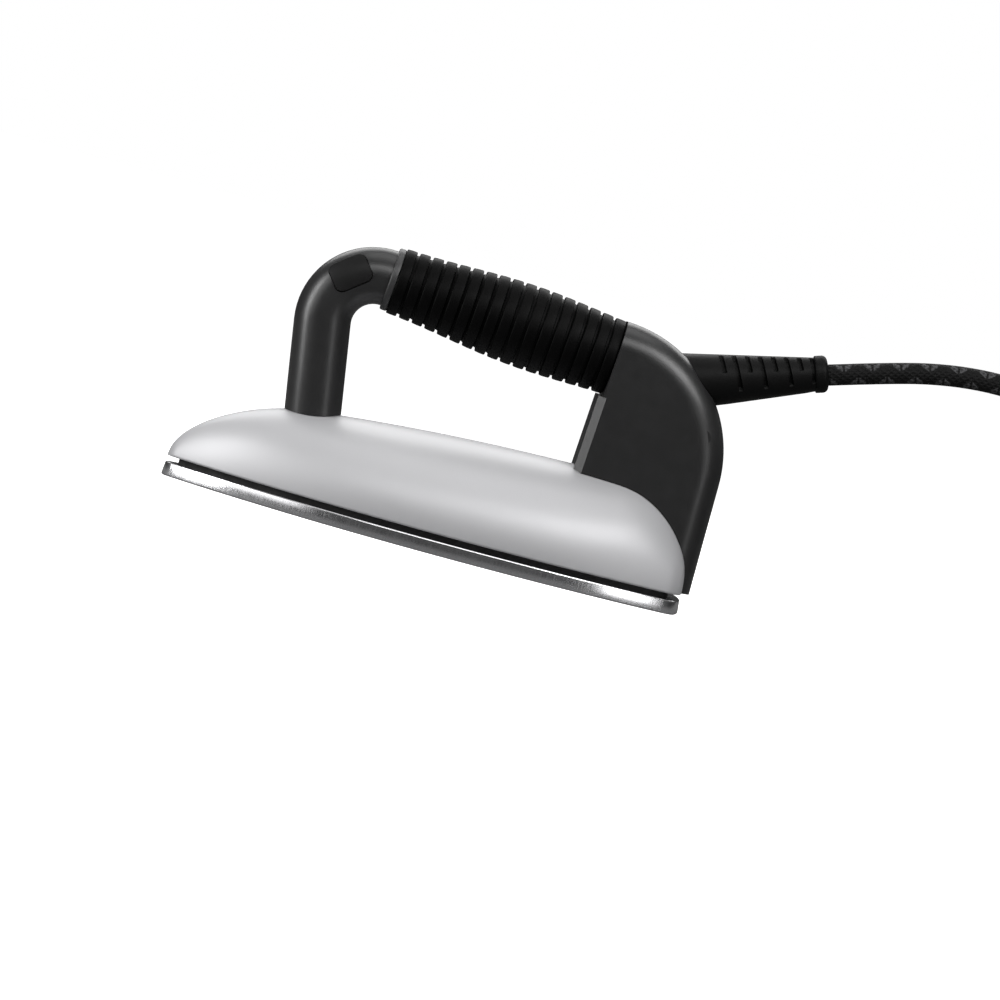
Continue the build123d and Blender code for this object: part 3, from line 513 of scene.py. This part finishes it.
FINISHES = {
    "polished_steel": polished_steel,
    "silver_cover": silver_cover,
    "braided_cord": braided_cord,
}
METALS = {  # dark, light, roughness
    "cast_aluminium": (grey(0.36), grey(0.48), (0.45, 0.65)),
    "element_steel": (grey(0.16), grey(0.24), (0.35, 0.5)),
    "brass": ((0.52, 0.36, 0.13), (0.66, 0.48, 0.20), (0.25, 0.4)),
    "zinc_steel": (grey(0.40, 0.05), grey(0.55, 0.03), (0.25, 0.42)),
    "shield_sheet": (grey(0.50), grey(0.62), (0.2, 0.35)),
    "thermostat_shell": (grey(0.52), grey(0.62), (0.25, 0.4)),
    "fuse_case": (grey(0.45), grey(0.60), (0.2, 0.3)),
    "pin_metal": (grey(0.55, 0.02), grey(0.68, 0.01), (0.14, 0.26)),
}
PLASTICS = {  # dark, light, roughness
    # the insulating gasket is a real ring, and its near-black colour is painted shade for the gap between
    # the plate and the cover
    "black_gasket": (grey(0.004), grey(0.008), (0.7, 0.85)),
    "white_ceramic": (grey(0.55), grey(0.66), (0.4, 0.55)),
    "charcoal_plastic": (grey(0.012, 0.02), grey(0.015, 0.02), (0.31, 0.37)),
    "button_plastic": (grey(0.009), grey(0.011), (0.40, 0.46)),
    "switch_plastic": (grey(0.02), grey(0.03), (0.4, 0.5)),
    "grey_plastic": (grey(0.024, 0.02), grey(0.028, 0.02), (0.4, 0.48)),
    "core_plastic": (grey(0.04), grey(0.05), (0.4, 0.5)),
    "grip_rubber": (grey(0.0005), grey(0.0009), (0.46, 0.56)),
    "relief_rubber": (grey(0.0022), grey(0.003), (0.46, 0.56)),
    "wire_plastic": ((0.05, 0.09, 0.30), (0.07, 0.12, 0.36), (0.3, 0.4)),
    "earth_plastic": ((0.10, 0.32, 0.06), (0.50, 0.46, 0.05), (0.3, 0.4)),
    "tie_fabric": (grey(0.012), grey(0.022), (0.75, 0.9)),
    "plug_rubber": (grey(0.010), grey(0.014), (0.42, 0.52)),
}
DULL = {  # index of refraction of what shines less than plain plastic
    "grip_rubber": 1.16,
    "relief_rubber": 1.2,
    "button_plastic": 1.2,
    "plug_rubber": 1.3,
    "tie_fabric": 1.2,
}


def make_finishes():
    """One material for each material slot of the record."""
    made = {slot: maker() for slot, maker in FINISHES.items()}
    for slot, values in METALS.items():
        made[slot] = metal(slot, *values)
    for slot, values in PLASTICS.items():
        made[slot] = plastic(slot, *values)
    for slot, value in DULL.items():
        made[slot].node_tree.nodes["Principled BSDF"].inputs["IOR"].default_value = value
    return made


def give(piece, slot, body, *nodes):
    """Finishes a piece: its material, its slot, the body it rides on and the nodes it stands for."""
    piece.data.materials.clear()
    piece.data.materials.append(finishes[slot])
    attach(piece, body)
    if nodes:
        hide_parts(*nodes)
    return piece


# ---------------------------------------------------------------- the sole and the cover
TIP_RADIUS = 9.0 * MM
CORNER_RADIUS = 12.0 * MM
SHOULDER_RADIUS = 212.0 * MM
REAR_RADIUS = 110.0 * MM
WIDEST_X = 15.0 * MM


def circles_meet(a, ra, b, rb):
    """The meeting point of two circles with the larger Y."""
    away = b - a
    distance = away.length
    along = (ra * ra - rb * rb + distance * distance) / (2 * distance)
    up = math.sqrt(ra * ra - along * along)
    unit = away / distance
    side = Vector((-unit.y, unit.x))
    first, second = a + unit * along + side * up, a + unit * along - side * up
    return first if first.y > second.y else second


def plan_arcs(nose, rear, half):
    """The +Y half of the plan, from the nose: (centre, radius, first angle, last angle) of each arc."""
    tip = Vector((nose + TIP_RADIUS, 0))
    run = WIDEST_X - tip.x
    side_radius = (run**2 + half**2 - TIP_RADIUS**2) / (2 * (half - TIP_RADIUS))
    side = Vector((WIDEST_X, half - side_radius))
    shoulder = Vector((WIDEST_X, half - SHOULDER_RADIUS))
    end = Vector((rear - REAR_RADIUS, 0))
    corner = circles_meet(shoulder, SHOULDER_RADIUS - CORNER_RADIUS, end, REAR_RADIUS - CORNER_RADIUS)
    turns = [math.pi]
    for big, small in ((side, tip), (side, side), (shoulder, corner), (end, corner)):
        line = small - big
        turns.append(math.pi / 2 if line.length == 0 else math.atan2(line.y, line.x))
    turns.append(0.0)
    centres = [tip, side, shoulder, corner, end]
    radii = [TIP_RADIUS, side_radius, SHOULDER_RADIUS, CORNER_RADIUS, REAR_RADIUS]
    return [(c, r, turns[i], turns[i + 1]) for i, (c, r) in enumerate(zip(centres, radii))]


def half_width(arcs, x):
    """Half the width of a plan at x."""
    for centre, radius, first, last in arcs:
        if centre.x + radius * math.cos(first) <= x <= centre.x + radius * math.cos(last):
            return centre.y + math.sqrt(max(radius**2 - (x - centre.x) ** 2, 0.0))
    return 0.0


PLATE_LOW, PLATE_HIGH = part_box("sole_plate")
PLATE_EDGE = 0.7 * MM
PLATE_DRAFT = 0.45 * MM  # how far the rim leans in towards its top
PLATE_FLAT = 6.0 * MM  # how far in the flat faces' middles start
PLATE_HOLD_LOW, PLATE_HOLD_HIGH = 1.6 * MM, 2.0 * MM  # and how far in their outer bands do
ARC_STEPS = (16, 60, 60, 16, 24)  # points along each arc of the plan


def plate_outline(inset):
    """The plate's plan as a closed loop of points, moved inwards by inset."""
    upper = []
    arcs = plan_arcs(PLATE_LOW.x, PLATE_HIGH.x, PLATE_HIGH.y)
    for (centre, radius, first, last), steps in zip(arcs, ARC_STEPS):
        for k in range(steps):
            angle = first + (last - first) * k / steps
            out = Vector((math.cos(angle), math.sin(angle)))
            upper.append(centre + out * (radius - inset))
    end = Vector((PLATE_HIGH.x - inset, 0.0))
    lower = [Vector((p.x, -p.y)) for p in reversed(upper[1:])]
    return [*upper, end, *lower]


def make_sole_plate():
    """The polished plate, its two rims rounded."""
    turns = [math.radians(15 * k) for k in range(7)]
    low, high = PLATE_LOW.z, PLATE_HIGH.z
    steps = [(PLATE_FLAT, low), (PLATE_HOLD_LOW, low)]
    for a in turns:
        steps.append((PLATE_EDGE * (1 - math.sin(a)), low + PLATE_EDGE * (1 - math.cos(a))))
    for a in turns:
        inset = PLATE_DRAFT + PLATE_EDGE * (1 - math.cos(a))
        steps.append((inset, high - PLATE_EDGE * (1 - math.sin(a))))
    steps += [(PLATE_HOLD_HIGH, high), (PLATE_FLAT, high)]
    rings = []
    for inset, z in steps:
        rings.append([Vector((p.x, p.y, z)) for p in reversed(plate_outline(inset))])
    return give(lofted("polished_sole_plate", rings), "polished_steel", "root", "sole_plate")


COVER_NOSE = PLATE_LOW.x + 0.6 * MM
COVER_REAR = PLATE_HIGH.x - 0.4 * MM
COVER_HALF = PLATE_HIGH.y - 2.0 * MM
COVER_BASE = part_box("sole_gasket")[1].z
COVER_WALL = 2.2 * MM
RIDGE_TOP = 50.4 * MM
RIDGE_X = 69.3 * MM
RIDGE_CURVE = 0.44
NOSE_SWEEP = 53.5 * MM
HEEL_SWEEP = 38.0 * MM
CROWN_POWER = 2.05
COVER_ROLL = 0.9 * MM


def quarter(t, length):
    """A quarter ellipse's height, 0 to 1, at t from its end."""
    return math.sqrt(max(1.0 - max(1.0 - t / length, 0.0) ** 2, 0.0))


def ridge(x):
    """The height of the cover's centre line at x."""
    flat = RIDGE_TOP - RIDGE_CURVE * (x - RIDGE_X) ** 2 - COVER_BASE
    return COVER_BASE + flat * quarter(x - COVER_NOSE, NOSE_SWEEP) * quarter(COVER_REAR - x, HEEL_SWEEP)


COVER_ARCS = plan_arcs(COVER_NOSE, COVER_REAR, COVER_HALF)


def cover_arch(x, inset, angles):
    """A cross-section of the cover at x, from its -Y side to its +Y side, moved inwards by inset."""
    share = (x - COVER_NOSE) / (COVER_REAR - COVER_NOSE)
    inner_x = COVER_NOSE + inset + share * (COVER_REAR - COVER_NOSE - 2 * inset)
    wide = max(half_width(COVER_ARCS, x) - inset, 0.0)
    tall = max(ridge(x) - inset - COVER_BASE, 0.0)
    arch = []
    for angle in angles:
        c, s = math.cos(angle), math.sin(angle)
        across = -math.copysign(abs(c) ** (2 / CROWN_POWER), c) * wide
        up = tall * s ** (2 / CROWN_POWER)
        if inset == 0.0 and up < COVER_ROLL:
            tuck = COVER_ROLL * (1 - math.sqrt(1 - (1 - up / COVER_ROLL) ** 2))
            across = math.copysign(max(abs(across) - tuck, 0.0), across)
        arch.append(Vector((inner_x, across, COVER_BASE + up)))
    return arch


def make_cover():
    """The silver cover: a crowned shell whose lower edge rolls under."""
    low = [0.0, 0.004, 0.009, 0.015, 0.022, 0.030, 0.040, 0.055, 0.075]
    middle = [0.1 + (math.pi / 2 - 0.1) * k / 36 for k in range(37)]
    half = low + middle
    angles = half + [math.pi - a for a in reversed(half[:-1])]
    stations = 150
    rows = []
    for i in range(stations + 1):
        share = (1 - math.cos(math.pi * i / stations)) / 2
        x = COVER_NOSE + share * (COVER_REAR - COVER_NOSE)
        outer = cover_arch(x, 0.0, angles)
        inner = cover_arch(x, COVER_WALL, angles)
        rows.append(outer + inner[::-1])
    points = [p for row in rows for p in row]
    faces = grid_faces(len(rows), len(rows[0]), close_columns=True)
    piece = mesh_object("silver_shell", points, [tuple(reversed(f)) for f in faces])
    weld(piece)
    smooth_by_angle(piece)
    return give(piece, "silver_cover", "root", "cover")


# ---------------------------------------------------------------- the grip
BEND_CENTRE = Vector((-45.1, 0.0, 84.8)) * MM
BEND_RADIUS = 21.8 * MM
GRIP_FALL = 4.3
COLLAR_THICK = 3.2 * MM
GRIP_LENGTH = 100.2 * MM
RIB_COUNT = 17
GROOVE_WIDE = 1.25 * MM
GROOVE_DEEP = 1.3 * MM
RIB_SHOULDER = 0.55 * MM
RIB_CROWN = 0.06 * MM
GRIP_RADIUS = 14.45 * MM  # over the ribs at the collar
GRIP_GAIN = 1.5 * MM  # how much more it is at the other end
GRIP_SWELL = 2.7 * MM  # and how much more again in the middle
GRIP_SWELL_SPAN = 114.0 * MM
CORE_RADIUS = 11.0 * MM
COLLAR_RADIUS = 13.85 * MM
COLLAR_BORE = 9.25 * MM
COLLAR_EDGE = 0.8 * MM


def in_side_view(degrees):
    """A direction in the XZ plane, from +X up towards +Z."""
    return Vector((math.cos(math.radians(degrees)), 0.0, math.sin(math.radians(degrees))))


GRIP_AXIS = in_side_view(-GRIP_FALL)
BEND_END = BEND_CENTRE + BEND_RADIUS * in_side_view(90 - GRIP_FALL)


GRIP_PLACE = placed(BEND_END, GRIP_AXIS, (0, 1, 0))


def grip_radius(s):
    """The grip's radius over the ribs, at s along it from the collar."""
    swell = math.sin(math.pi * s / GRIP_SWELL_SPAN) ** 2
    return GRIP_RADIUS + GRIP_GAIN * s / GRIP_LENGTH + GRIP_SWELL * swell


def make_grip_sleeve():
    """Seventeen rubber ribs, each with rounded shoulders and a slightly crowned top."""
    pitch = GRIP_LENGTH / RIB_COUNT
    profile = [(0.0, CORE_RADIUS)]
    for i in range(RIB_COUNT):
        low = i * pitch
        high = low + pitch - GROOVE_WIDE
        floor = min(grip_radius(low), grip_radius(high)) - GROOVE_DEEP
        profile.append((low, floor))
        rise, fall = low + RIB_SHOULDER, high - RIB_SHOULDER
        profile += rounded_corner(rise, grip_radius(rise) - RIB_SHOULDER, RIB_SHOULDER, 180)
        middle = (low + high) / 2
        profile.append((middle, grip_radius(middle) + RIB_CROWN))
        profile += rounded_corner(fall, grip_radius(fall) - RIB_SHOULDER, RIB_SHOULDER, 90)
        profile.append((high, floor))
    profile.append((profile[-1][0], CORE_RADIUS))
    place = GRIP_PLACE @ Matrix.Translation((0, 0, COLLAR_THICK))
    return give(hoop("ribbed_grip", turned(profile, place)), "grip_rubber", "root", "grip_sleeve")


def make_collar():
    """The ring between the leg and the grip, with rounded edges."""
    middle = COLLAR_RADIUS - COLLAR_EDGE
    profile = [(0.0, COLLAR_BORE), *rounded_corner(COLLAR_EDGE, middle, COLLAR_EDGE, 180)]
    profile += rounded_corner(COLLAR_THICK - COLLAR_EDGE, middle, COLLAR_EDGE, 90)
    profile.append((COLLAR_THICK, COLLAR_BORE))
    return give(hoop("grip_collar", turned(profile, GRIP_PLACE)), "grey_plastic", "root", "collar_ring")


SPRING_TALL = 2.9 * MM
SPRING_RADIUS = 3.1 * MM
SPRING_WIRE = 0.3 * MM
SPRING_TURNS = 3
SPRING_TURN_POINTS = 24
SPRING_SIDES = 10


def make_button_spring():
    """The coil spring behind the thumb button, which on the real iron shortens as the button goes in; here
    it is a fixed helix on a mesh of its own.
    """
    inwards = Vector(frame["record"]["behaviour"]["joints"][0]["axis"])
    low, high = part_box("button_spring")
    centre = (Vector(low) + Vector(high)) / 2
    place = placed(centre, inwards, (0, 0, 1))
    steps = SPRING_TURN_POINTS * SPRING_TURNS
    line = []
    for k in range(steps + 1):
        angle = 2 * math.pi * SPRING_TURNS * k / steps
        along = SPRING_TALL * (k / steps - 0.5)
        across, up = SPRING_RADIUS * math.cos(angle), SPRING_RADIUS * math.sin(angle)
        line.append(place @ Vector((across, up, along)))
    piece = tube_mesh("press_spring", line, SPRING_WIRE, SPRING_SIDES)
    give(piece, "zinc_steel", "root", "button_spring")
    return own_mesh(piece)


# ---------------------------------------------------------------- the strain relief
RELIEF_PLACE = placed(RELIEF_EXIT, RELIEF_AXIS, (0, 1, 0))
RELIEF_ROOT = 11.6 * MM
RELIEF_TIP = 7.35 * MM
RELIEF_TAPER = 49.9 * MM
RELIEF_END_RING = 8.05 * MM
RELIEF_LENGTH = 55.6 * MM
RELIEF_BACK = -9.0 * MM
RELIEF_STEP = 0.5 * MM  # over which the end ring rises
RELIEF_TURN = 2.2 * MM  # the rounding of its far edge
RELIEF_BORE = CORD_RADIUS + 0.1 * MM
SLOT_COUNT = 8
SLOT_START = 9.7 * MM
SLOT_PITCH = 5.6 * MM
SLOT_WIDE = 1.8 * MM
SLOT_DEEP = 1.7 * MM
SLOT_EASE = 0.3 * MM  # the width of a slot's sloping wall
SLOT_TOP = math.radians(17)  # where the slots start and end, round from straight up
SLOT_SHORT = math.radians(68)
SLOT_LONG = math.radians(114)
SLOT_FADE = math.radians(7)
SLOT_LEAN = 0.14  # how much further from the housing a slot is, for each metre down from the top
LEAN_END = RELIEF_TAPER + 1.0 * MM
LEAN_FADE = 8.0 * MM


def relief_radius(s):
    """The relief's radius without its slots, at s along it from the housing."""
    if s <= RELIEF_TAPER:
        return RELIEF_ROOT + (RELIEF_TIP - RELIEF_ROOT) * s / RELIEF_TAPER
    rise = eased((s - RELIEF_TAPER) / RELIEF_STEP)
    fall = max((s - (RELIEF_LENGTH - RELIEF_TURN)) / RELIEF_TURN, 0.0)
    ring = RELIEF_END_RING - RELIEF_TURN * (1 - math.sqrt(max(1 - fall * fall, 0.0)))
    return RELIEF_TIP + (ring - RELIEF_TIP) * rise


def slot_depth(s, angle):
    """How deep the slots are at s along and angle round, from straight up."""
    i = round((s - SLOT_START) / SLOT_PITCH)
    if not 0 <= i < SLOT_COUNT:
        return 0.0
    off = abs(s - SLOT_START - i * SLOT_PITCH)
    wall = 1 - eased((off - (SLOT_WIDE - SLOT_EASE) / 2) / SLOT_EASE)
    end = SLOT_SHORT if i % 2 == 0 else SLOT_LONG
    window = eased((abs(angle) - SLOT_TOP) / SLOT_FADE) * (1 - eased((abs(angle) - end) / SLOT_FADE))
    return SLOT_DEEP * wall * window


def slotted_radius(s, angle):
    """The relief's radius with its slots."""
    return relief_radius(s) - slot_depth(s, angle)


def bore_radius(s, angle):
    """The radius of its bore, which is the same all along and all round."""
    return RELIEF_BORE


def relief_stations():
    """Distances along the relief, close together at the walls of its slots."""
    near_a_slot = [0.4 * MM, 0.75 * MM, 0.9 * MM, 1.05 * MM, 1.2 * MM, 1.6 * MM]
    stations = [RELIEF_BACK, 0.0, 3 * MM, 6 * MM]
    for i in range(SLOT_COUNT):
        middle = SLOT_START + i * SLOT_PITCH
        stations += [middle - off for off in reversed(near_a_slot)]
        stations.append(middle)
        stations += [middle + off for off in near_a_slot]
    stations = [s for s in stations if s < RELIEF_TAPER - 0.05 * MM]
    stations += [RELIEF_TAPER + RELIEF_STEP * k / 5 for k in range(6)]
    step, turn = RELIEF_TAPER + RELIEF_STEP, RELIEF_LENGTH - RELIEF_TURN
    stations += [step + (turn - step) * k / 4 for k in range(1, 5)]
    stations += [turn + RELIEF_TURN * math.sin(math.pi / 2 * k / 9) for k in range(1, 10)]
    return stations


def relief_ring(s, radius_at, turns=160):
    """Points round the relief at s along it; between its slots' first and last, the ring leans with them."""
    lean = SLOT_LEAN * eased(s / SLOT_START) * eased((LEAN_END - s) / LEAN_FADE)
    ring = []
    for j in range(turns):
        from_top = math.remainder(2 * math.pi * j / turns, 2 * math.pi)
        radius = radius_at(s, from_top)
        across, up = radius * math.sin(from_top), radius * math.cos(from_top)
        ring.append(RELIEF_PLACE @ Vector((across, up, s + lean * (radius - up))))
    return ring


def make_strain_relief():
    """A tapered sleeve with a short and a long slot by turns down each side."""
    rings = [relief_ring(s, slotted_radius) for s in relief_stations()]
    rings += [relief_ring(s, bore_radius) for s in (RELIEF_LENGTH, RELIEF_BACK)]
    return give(hoop("slotted_relief", rings), "relief_rubber", "root", "strain_relief")


# ---------------------------------------------------------------- on the cord's far end
TIE_TURN = math.radians(75)  # where on the coil the tie is
TIE_WIDE = 9.0 * MM
TIE_THICK = 1.0 * MM
TIE_CORNER = 4.0 * MM
TIE_EDGE = 0.3 * MM
TIE_GAP = 0.5 * MM  # between the strap and the turns
TIE_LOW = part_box("coil_tie")[0].z
PLUG_RADIUS = 19.0 * MM
PLUG_LENGTH = 44.0 * MM
PLUG_RIM = 1.2 * MM
PLUG_PLACE = placed((0.452, 0.008, PLUG_RADIUS), (0, 1, 0), (1, 0, 0))
TAIL_RIBS = 5
TAIL_PITCH = 2.6 * MM
TAIL_GROOVE = 0.7 * MM  # how deep
FLARE_START = 16.0 * MM
FLARE_LENGTH = 10.0 * MM
FLARE_RADIUS = 8.0 * MM
PIN_RADIUS = 2.4 * MM
PIN_LENGTH = 19.0 * MM
PIN_APART = 19.0 * MM


def make_coil_tie():
    """A woven strap round the bundle of turns."""
    inner = COIL_OUTER - 2 * TURN_PITCH - CORD_RADIUS - TIE_GAP
    outer = COIL_OUTER + CORD_RADIUS + TIE_GAP
    bottom = TIE_LOW + TIE_THICK
    top = bottom + 2 * CORD_DIAMETER + TIE_GAP
    place = Matrix.Translation((*COIL_CENTRE, 0.0)) @ Matrix.Rotation(TIE_TURN, 4, "Z")
    half = TIE_WIDE / 2
    section = [(0.0, half - TIE_EDGE), (TIE_EDGE, half)]
    section += [(TIE_THICK - TIE_EDGE, half), (TIE_THICK, half - TIE_EDGE)]
    section += [(out, -along) for out, along in reversed(section)]
    rings = []
    for out, along in section:
        loop = rounded_loop((inner - out, bottom - out), (outer + out, top + out), TIE_CORNER + out)
        rings.append([place @ Vector((x, along, z)) for x, z in loop])
    return give(hoop("coil_strap", rings), "tie_fabric", "root", "coil_tie")


def make_plug_body():
    """A moulded plug: a ribbed tail that flares into a round head with a turned rim."""
    profile = [(0.0, CORD_RADIUS - 0.3 * MM), (0.0, 5.4 * MM), (0.6 * MM, 6.0 * MM)]
    for i in range(TAIL_RIBS):
        low, radius = 2.0 * MM + TAIL_PITCH * i, (6.1 + 0.3 * i) * MM
        floor = radius - TAIL_GROOVE
        profile += [(low, radius), (low + 0.3 * MM, floor), (low + 1.1 * MM, floor)]
        profile.append((low + 1.4 * MM, radius + 0.1 * MM))
    for k in range(13):
        share = k / 12
        radius = FLARE_RADIUS + (PLUG_RADIUS - FLARE_RADIUS) * eased(share)
        profile.append((FLARE_START + FLARE_LENGTH * share, radius))
    profile += rounded_corner(PLUG_LENGTH - PLUG_RIM, PLUG_RADIUS - PLUG_RIM, PLUG_RIM, 90, steps=6)
    profile += [(PLUG_LENGTH, PLUG_RADIUS - 4 * MM), (PLUG_LENGTH, 1 * MM)]
    piece = lofted("moulded_plug", turned(profile, PLUG_PLACE))
    smooth_by_angle(piece)
    return give(piece, "plug_rubber", "root", "plug_body")


def make_plug_pins():
    """Two round pins with domed ends."""
    profile = [(-1 * MM, PIN_RADIUS), (PIN_LENGTH - PIN_RADIUS, PIN_RADIUS)]
    for k in range(1, 9):
        angle = math.radians(10 * k)
        profile.append((PIN_LENGTH - PIN_RADIUS * (1 - math.sin(angle)), PIN_RADIUS * math.cos(angle)))
    mesh = bmesh.new()
    for side in (-1, 1):
        place = PLUG_PLACE @ Matrix.Translation((side * PIN_APART / 2, 0, PLUG_LENGTH))
        pin = lofted("pin", turned(profile, place, turns=40))
        mesh.from_mesh(pin.data)
        bpy.data.objects.remove(pin)
    pins = bpy.data.meshes.new("plug_round_pins")
    mesh.to_mesh(pins)
    mesh.free()
    piece = add_object("plug_round_pins", pins)
    smooth_by_angle(piece)
    return give(piece, "pin_metal", "root", "plug_pins")


# ---------------------------------------------------------------- floor and light
FLOOR_GLOW = 0.92
ROOM_LOW, ROOM_HIGH = 0.05, 0.34


def seen_or_felt(tree, seen, felt):
    """A shader that is seen where the camera looks straight at it, and felt by everything else."""
    path = tree.nodes.new("ShaderNodeLightPath")
    mix = tree.nodes.new("ShaderNodeMixShader")
    tree.links.new(path.outputs["Is Camera Ray"], mix.inputs["Fac"])
    tree.links.new(felt, mix.inputs[1])
    tree.links.new(seen, mix.inputs[2])
    return mix.outputs[0]


def make_floor():
    """A wide pale floor that throws little light back up."""
    size, steps = 60.0, 8
    ticks = [size * (i / steps - 0.5) for i in range(steps + 1)]
    points = [(x, y, 0.0) for x in ticks for y in ticks]
    floor = mesh_object("floor", points, grid_faces(steps + 1, steps + 1))
    finish = Finish("floor_paper", Roughness=0.9)
    grain = finish.noise(30 * MM)
    finish.put(finish.shader.inputs["Emission Strength"], FLOOR_GLOW)
    finish.put(finish.shader.inputs["Emission Color"], (1.0, 1.0, 1.0, 1.0))
    finish.put(finish.shader.inputs["Base Color"], finish.colours(grain, grey(0.80), grey(0.84)))
    dull = finish.node("BsdfDiffuse", {"Color": (*grey(0.16), 1.0)})
    out = finish.tree.nodes["Material Output"].inputs["Surface"]
    finish.put(out, seen_or_felt(finish.tree, finish.shader.outputs[0], dull.outputs[0]))
    floor.data.materials.append(finish.material)


def make_world():
    """White behind the object, and for everything else a soft room that is darker low down."""
    world = bpy.data.worlds.new("studio")
    bpy.context.scene.world = world
    world.use_nodes = True
    tree = world.node_tree
    back = tree.nodes["Background"]
    back.inputs["Color"].default_value = (1, 1, 1, 1)
    room = tree.nodes.new("ShaderNodeBackground")
    where = tree.nodes.new("ShaderNodeTexCoord")
    split = tree.nodes.new("ShaderNodeSeparateXYZ")
    ramp = tree.nodes.new("ShaderNodeMapRange")
    tree.links.new(where.outputs["Generated"], split.inputs[0])
    tree.links.new(split.outputs["Z"], ramp.inputs["Value"])
    ramp.inputs["To Min"].default_value = ROOM_LOW
    ramp.inputs["To Max"].default_value = ROOM_HIGH
    tree.links.new(ramp.outputs["Result"], room.inputs["Strength"])
    shown = seen_or_felt(tree, back.outputs[0], room.outputs[0])
    tree.links.new(shown, tree.nodes["World Output"].inputs["Surface"])


def softbox(name, place, target, width, height, brightness):
    """An area light that faces target; brightness is what a mirror would show of it."""
    light = bpy.data.lights.new(name, "AREA")
    light.shape = "RECTANGLE"
    light.size, light.size_y = width, height
    light.energy = brightness * math.pi * width * height
    lamp = add_object(name, light)
    lamp.visible_camera = False
    away = Vector(target) - Vector(place)
    lamp.matrix_world = Matrix.Translation(place) @ away.to_track_quat("-Z", "Y").to_matrix().to_4x4()


def around(azimuth, distance, height):
    """A place at azimuth degrees round from straight in front, towards +X."""
    turn = math.radians(azimuth)
    return (distance * math.sin(turn), -distance * math.cos(turn), height)


def make_lights():
    """Soft boxes: above, in front, behind, and a wide and a narrow one to each side."""
    middle = (0.0, 0.0, 0.06)
    softbox("overhead", (0.0, 0.0, 1.1), middle, 0.9, 0.6, 1.6)
    softbox("front", around(5, 0.36, 0.36), middle, 0.5, 0.14, 4.2)
    softbox("left_panel", around(-62, 0.95, 0.42), around(0, 0, 0.42), 0.7, 0.7, 1.7)
    softbox("left_strip", around(-74, 0.42, 0.15), around(0, 0, 0.15), 0.08, 0.30, 11.0)
    softbox("right_high", around(44, 0.90, 0.78), middle, 0.50, 0.44, 8.0)
    softbox("right_strip", around(47.0, 0.90, 0.14), around(0, 0, 0.14), 0.20, 0.28, 3.0)
    softbox("back_top", (0.0, 0.75, 0.70), middle, 1.3, 0.5, 3.0)


finishes = make_finishes()
cord_piece.data.materials.append(finishes["braided_cord"])
for node in frame["nodes"].values():
    node.material_slots[0].material = finishes[node.data.materials[0].name]
make_sole_plate()
make_cover()
make_grip_sleeve()
make_collar()
make_button_spring()
on_the_cord = [make_strain_relief(), make_coil_tie(), make_plug_body(), make_plug_pins()]
on_the_cord.append(frame["nodes"]["plug_earth_clips"])
make_floor()
make_world()
make_lights()
bpy.context.scene.view_settings.view_transform = "Standard"
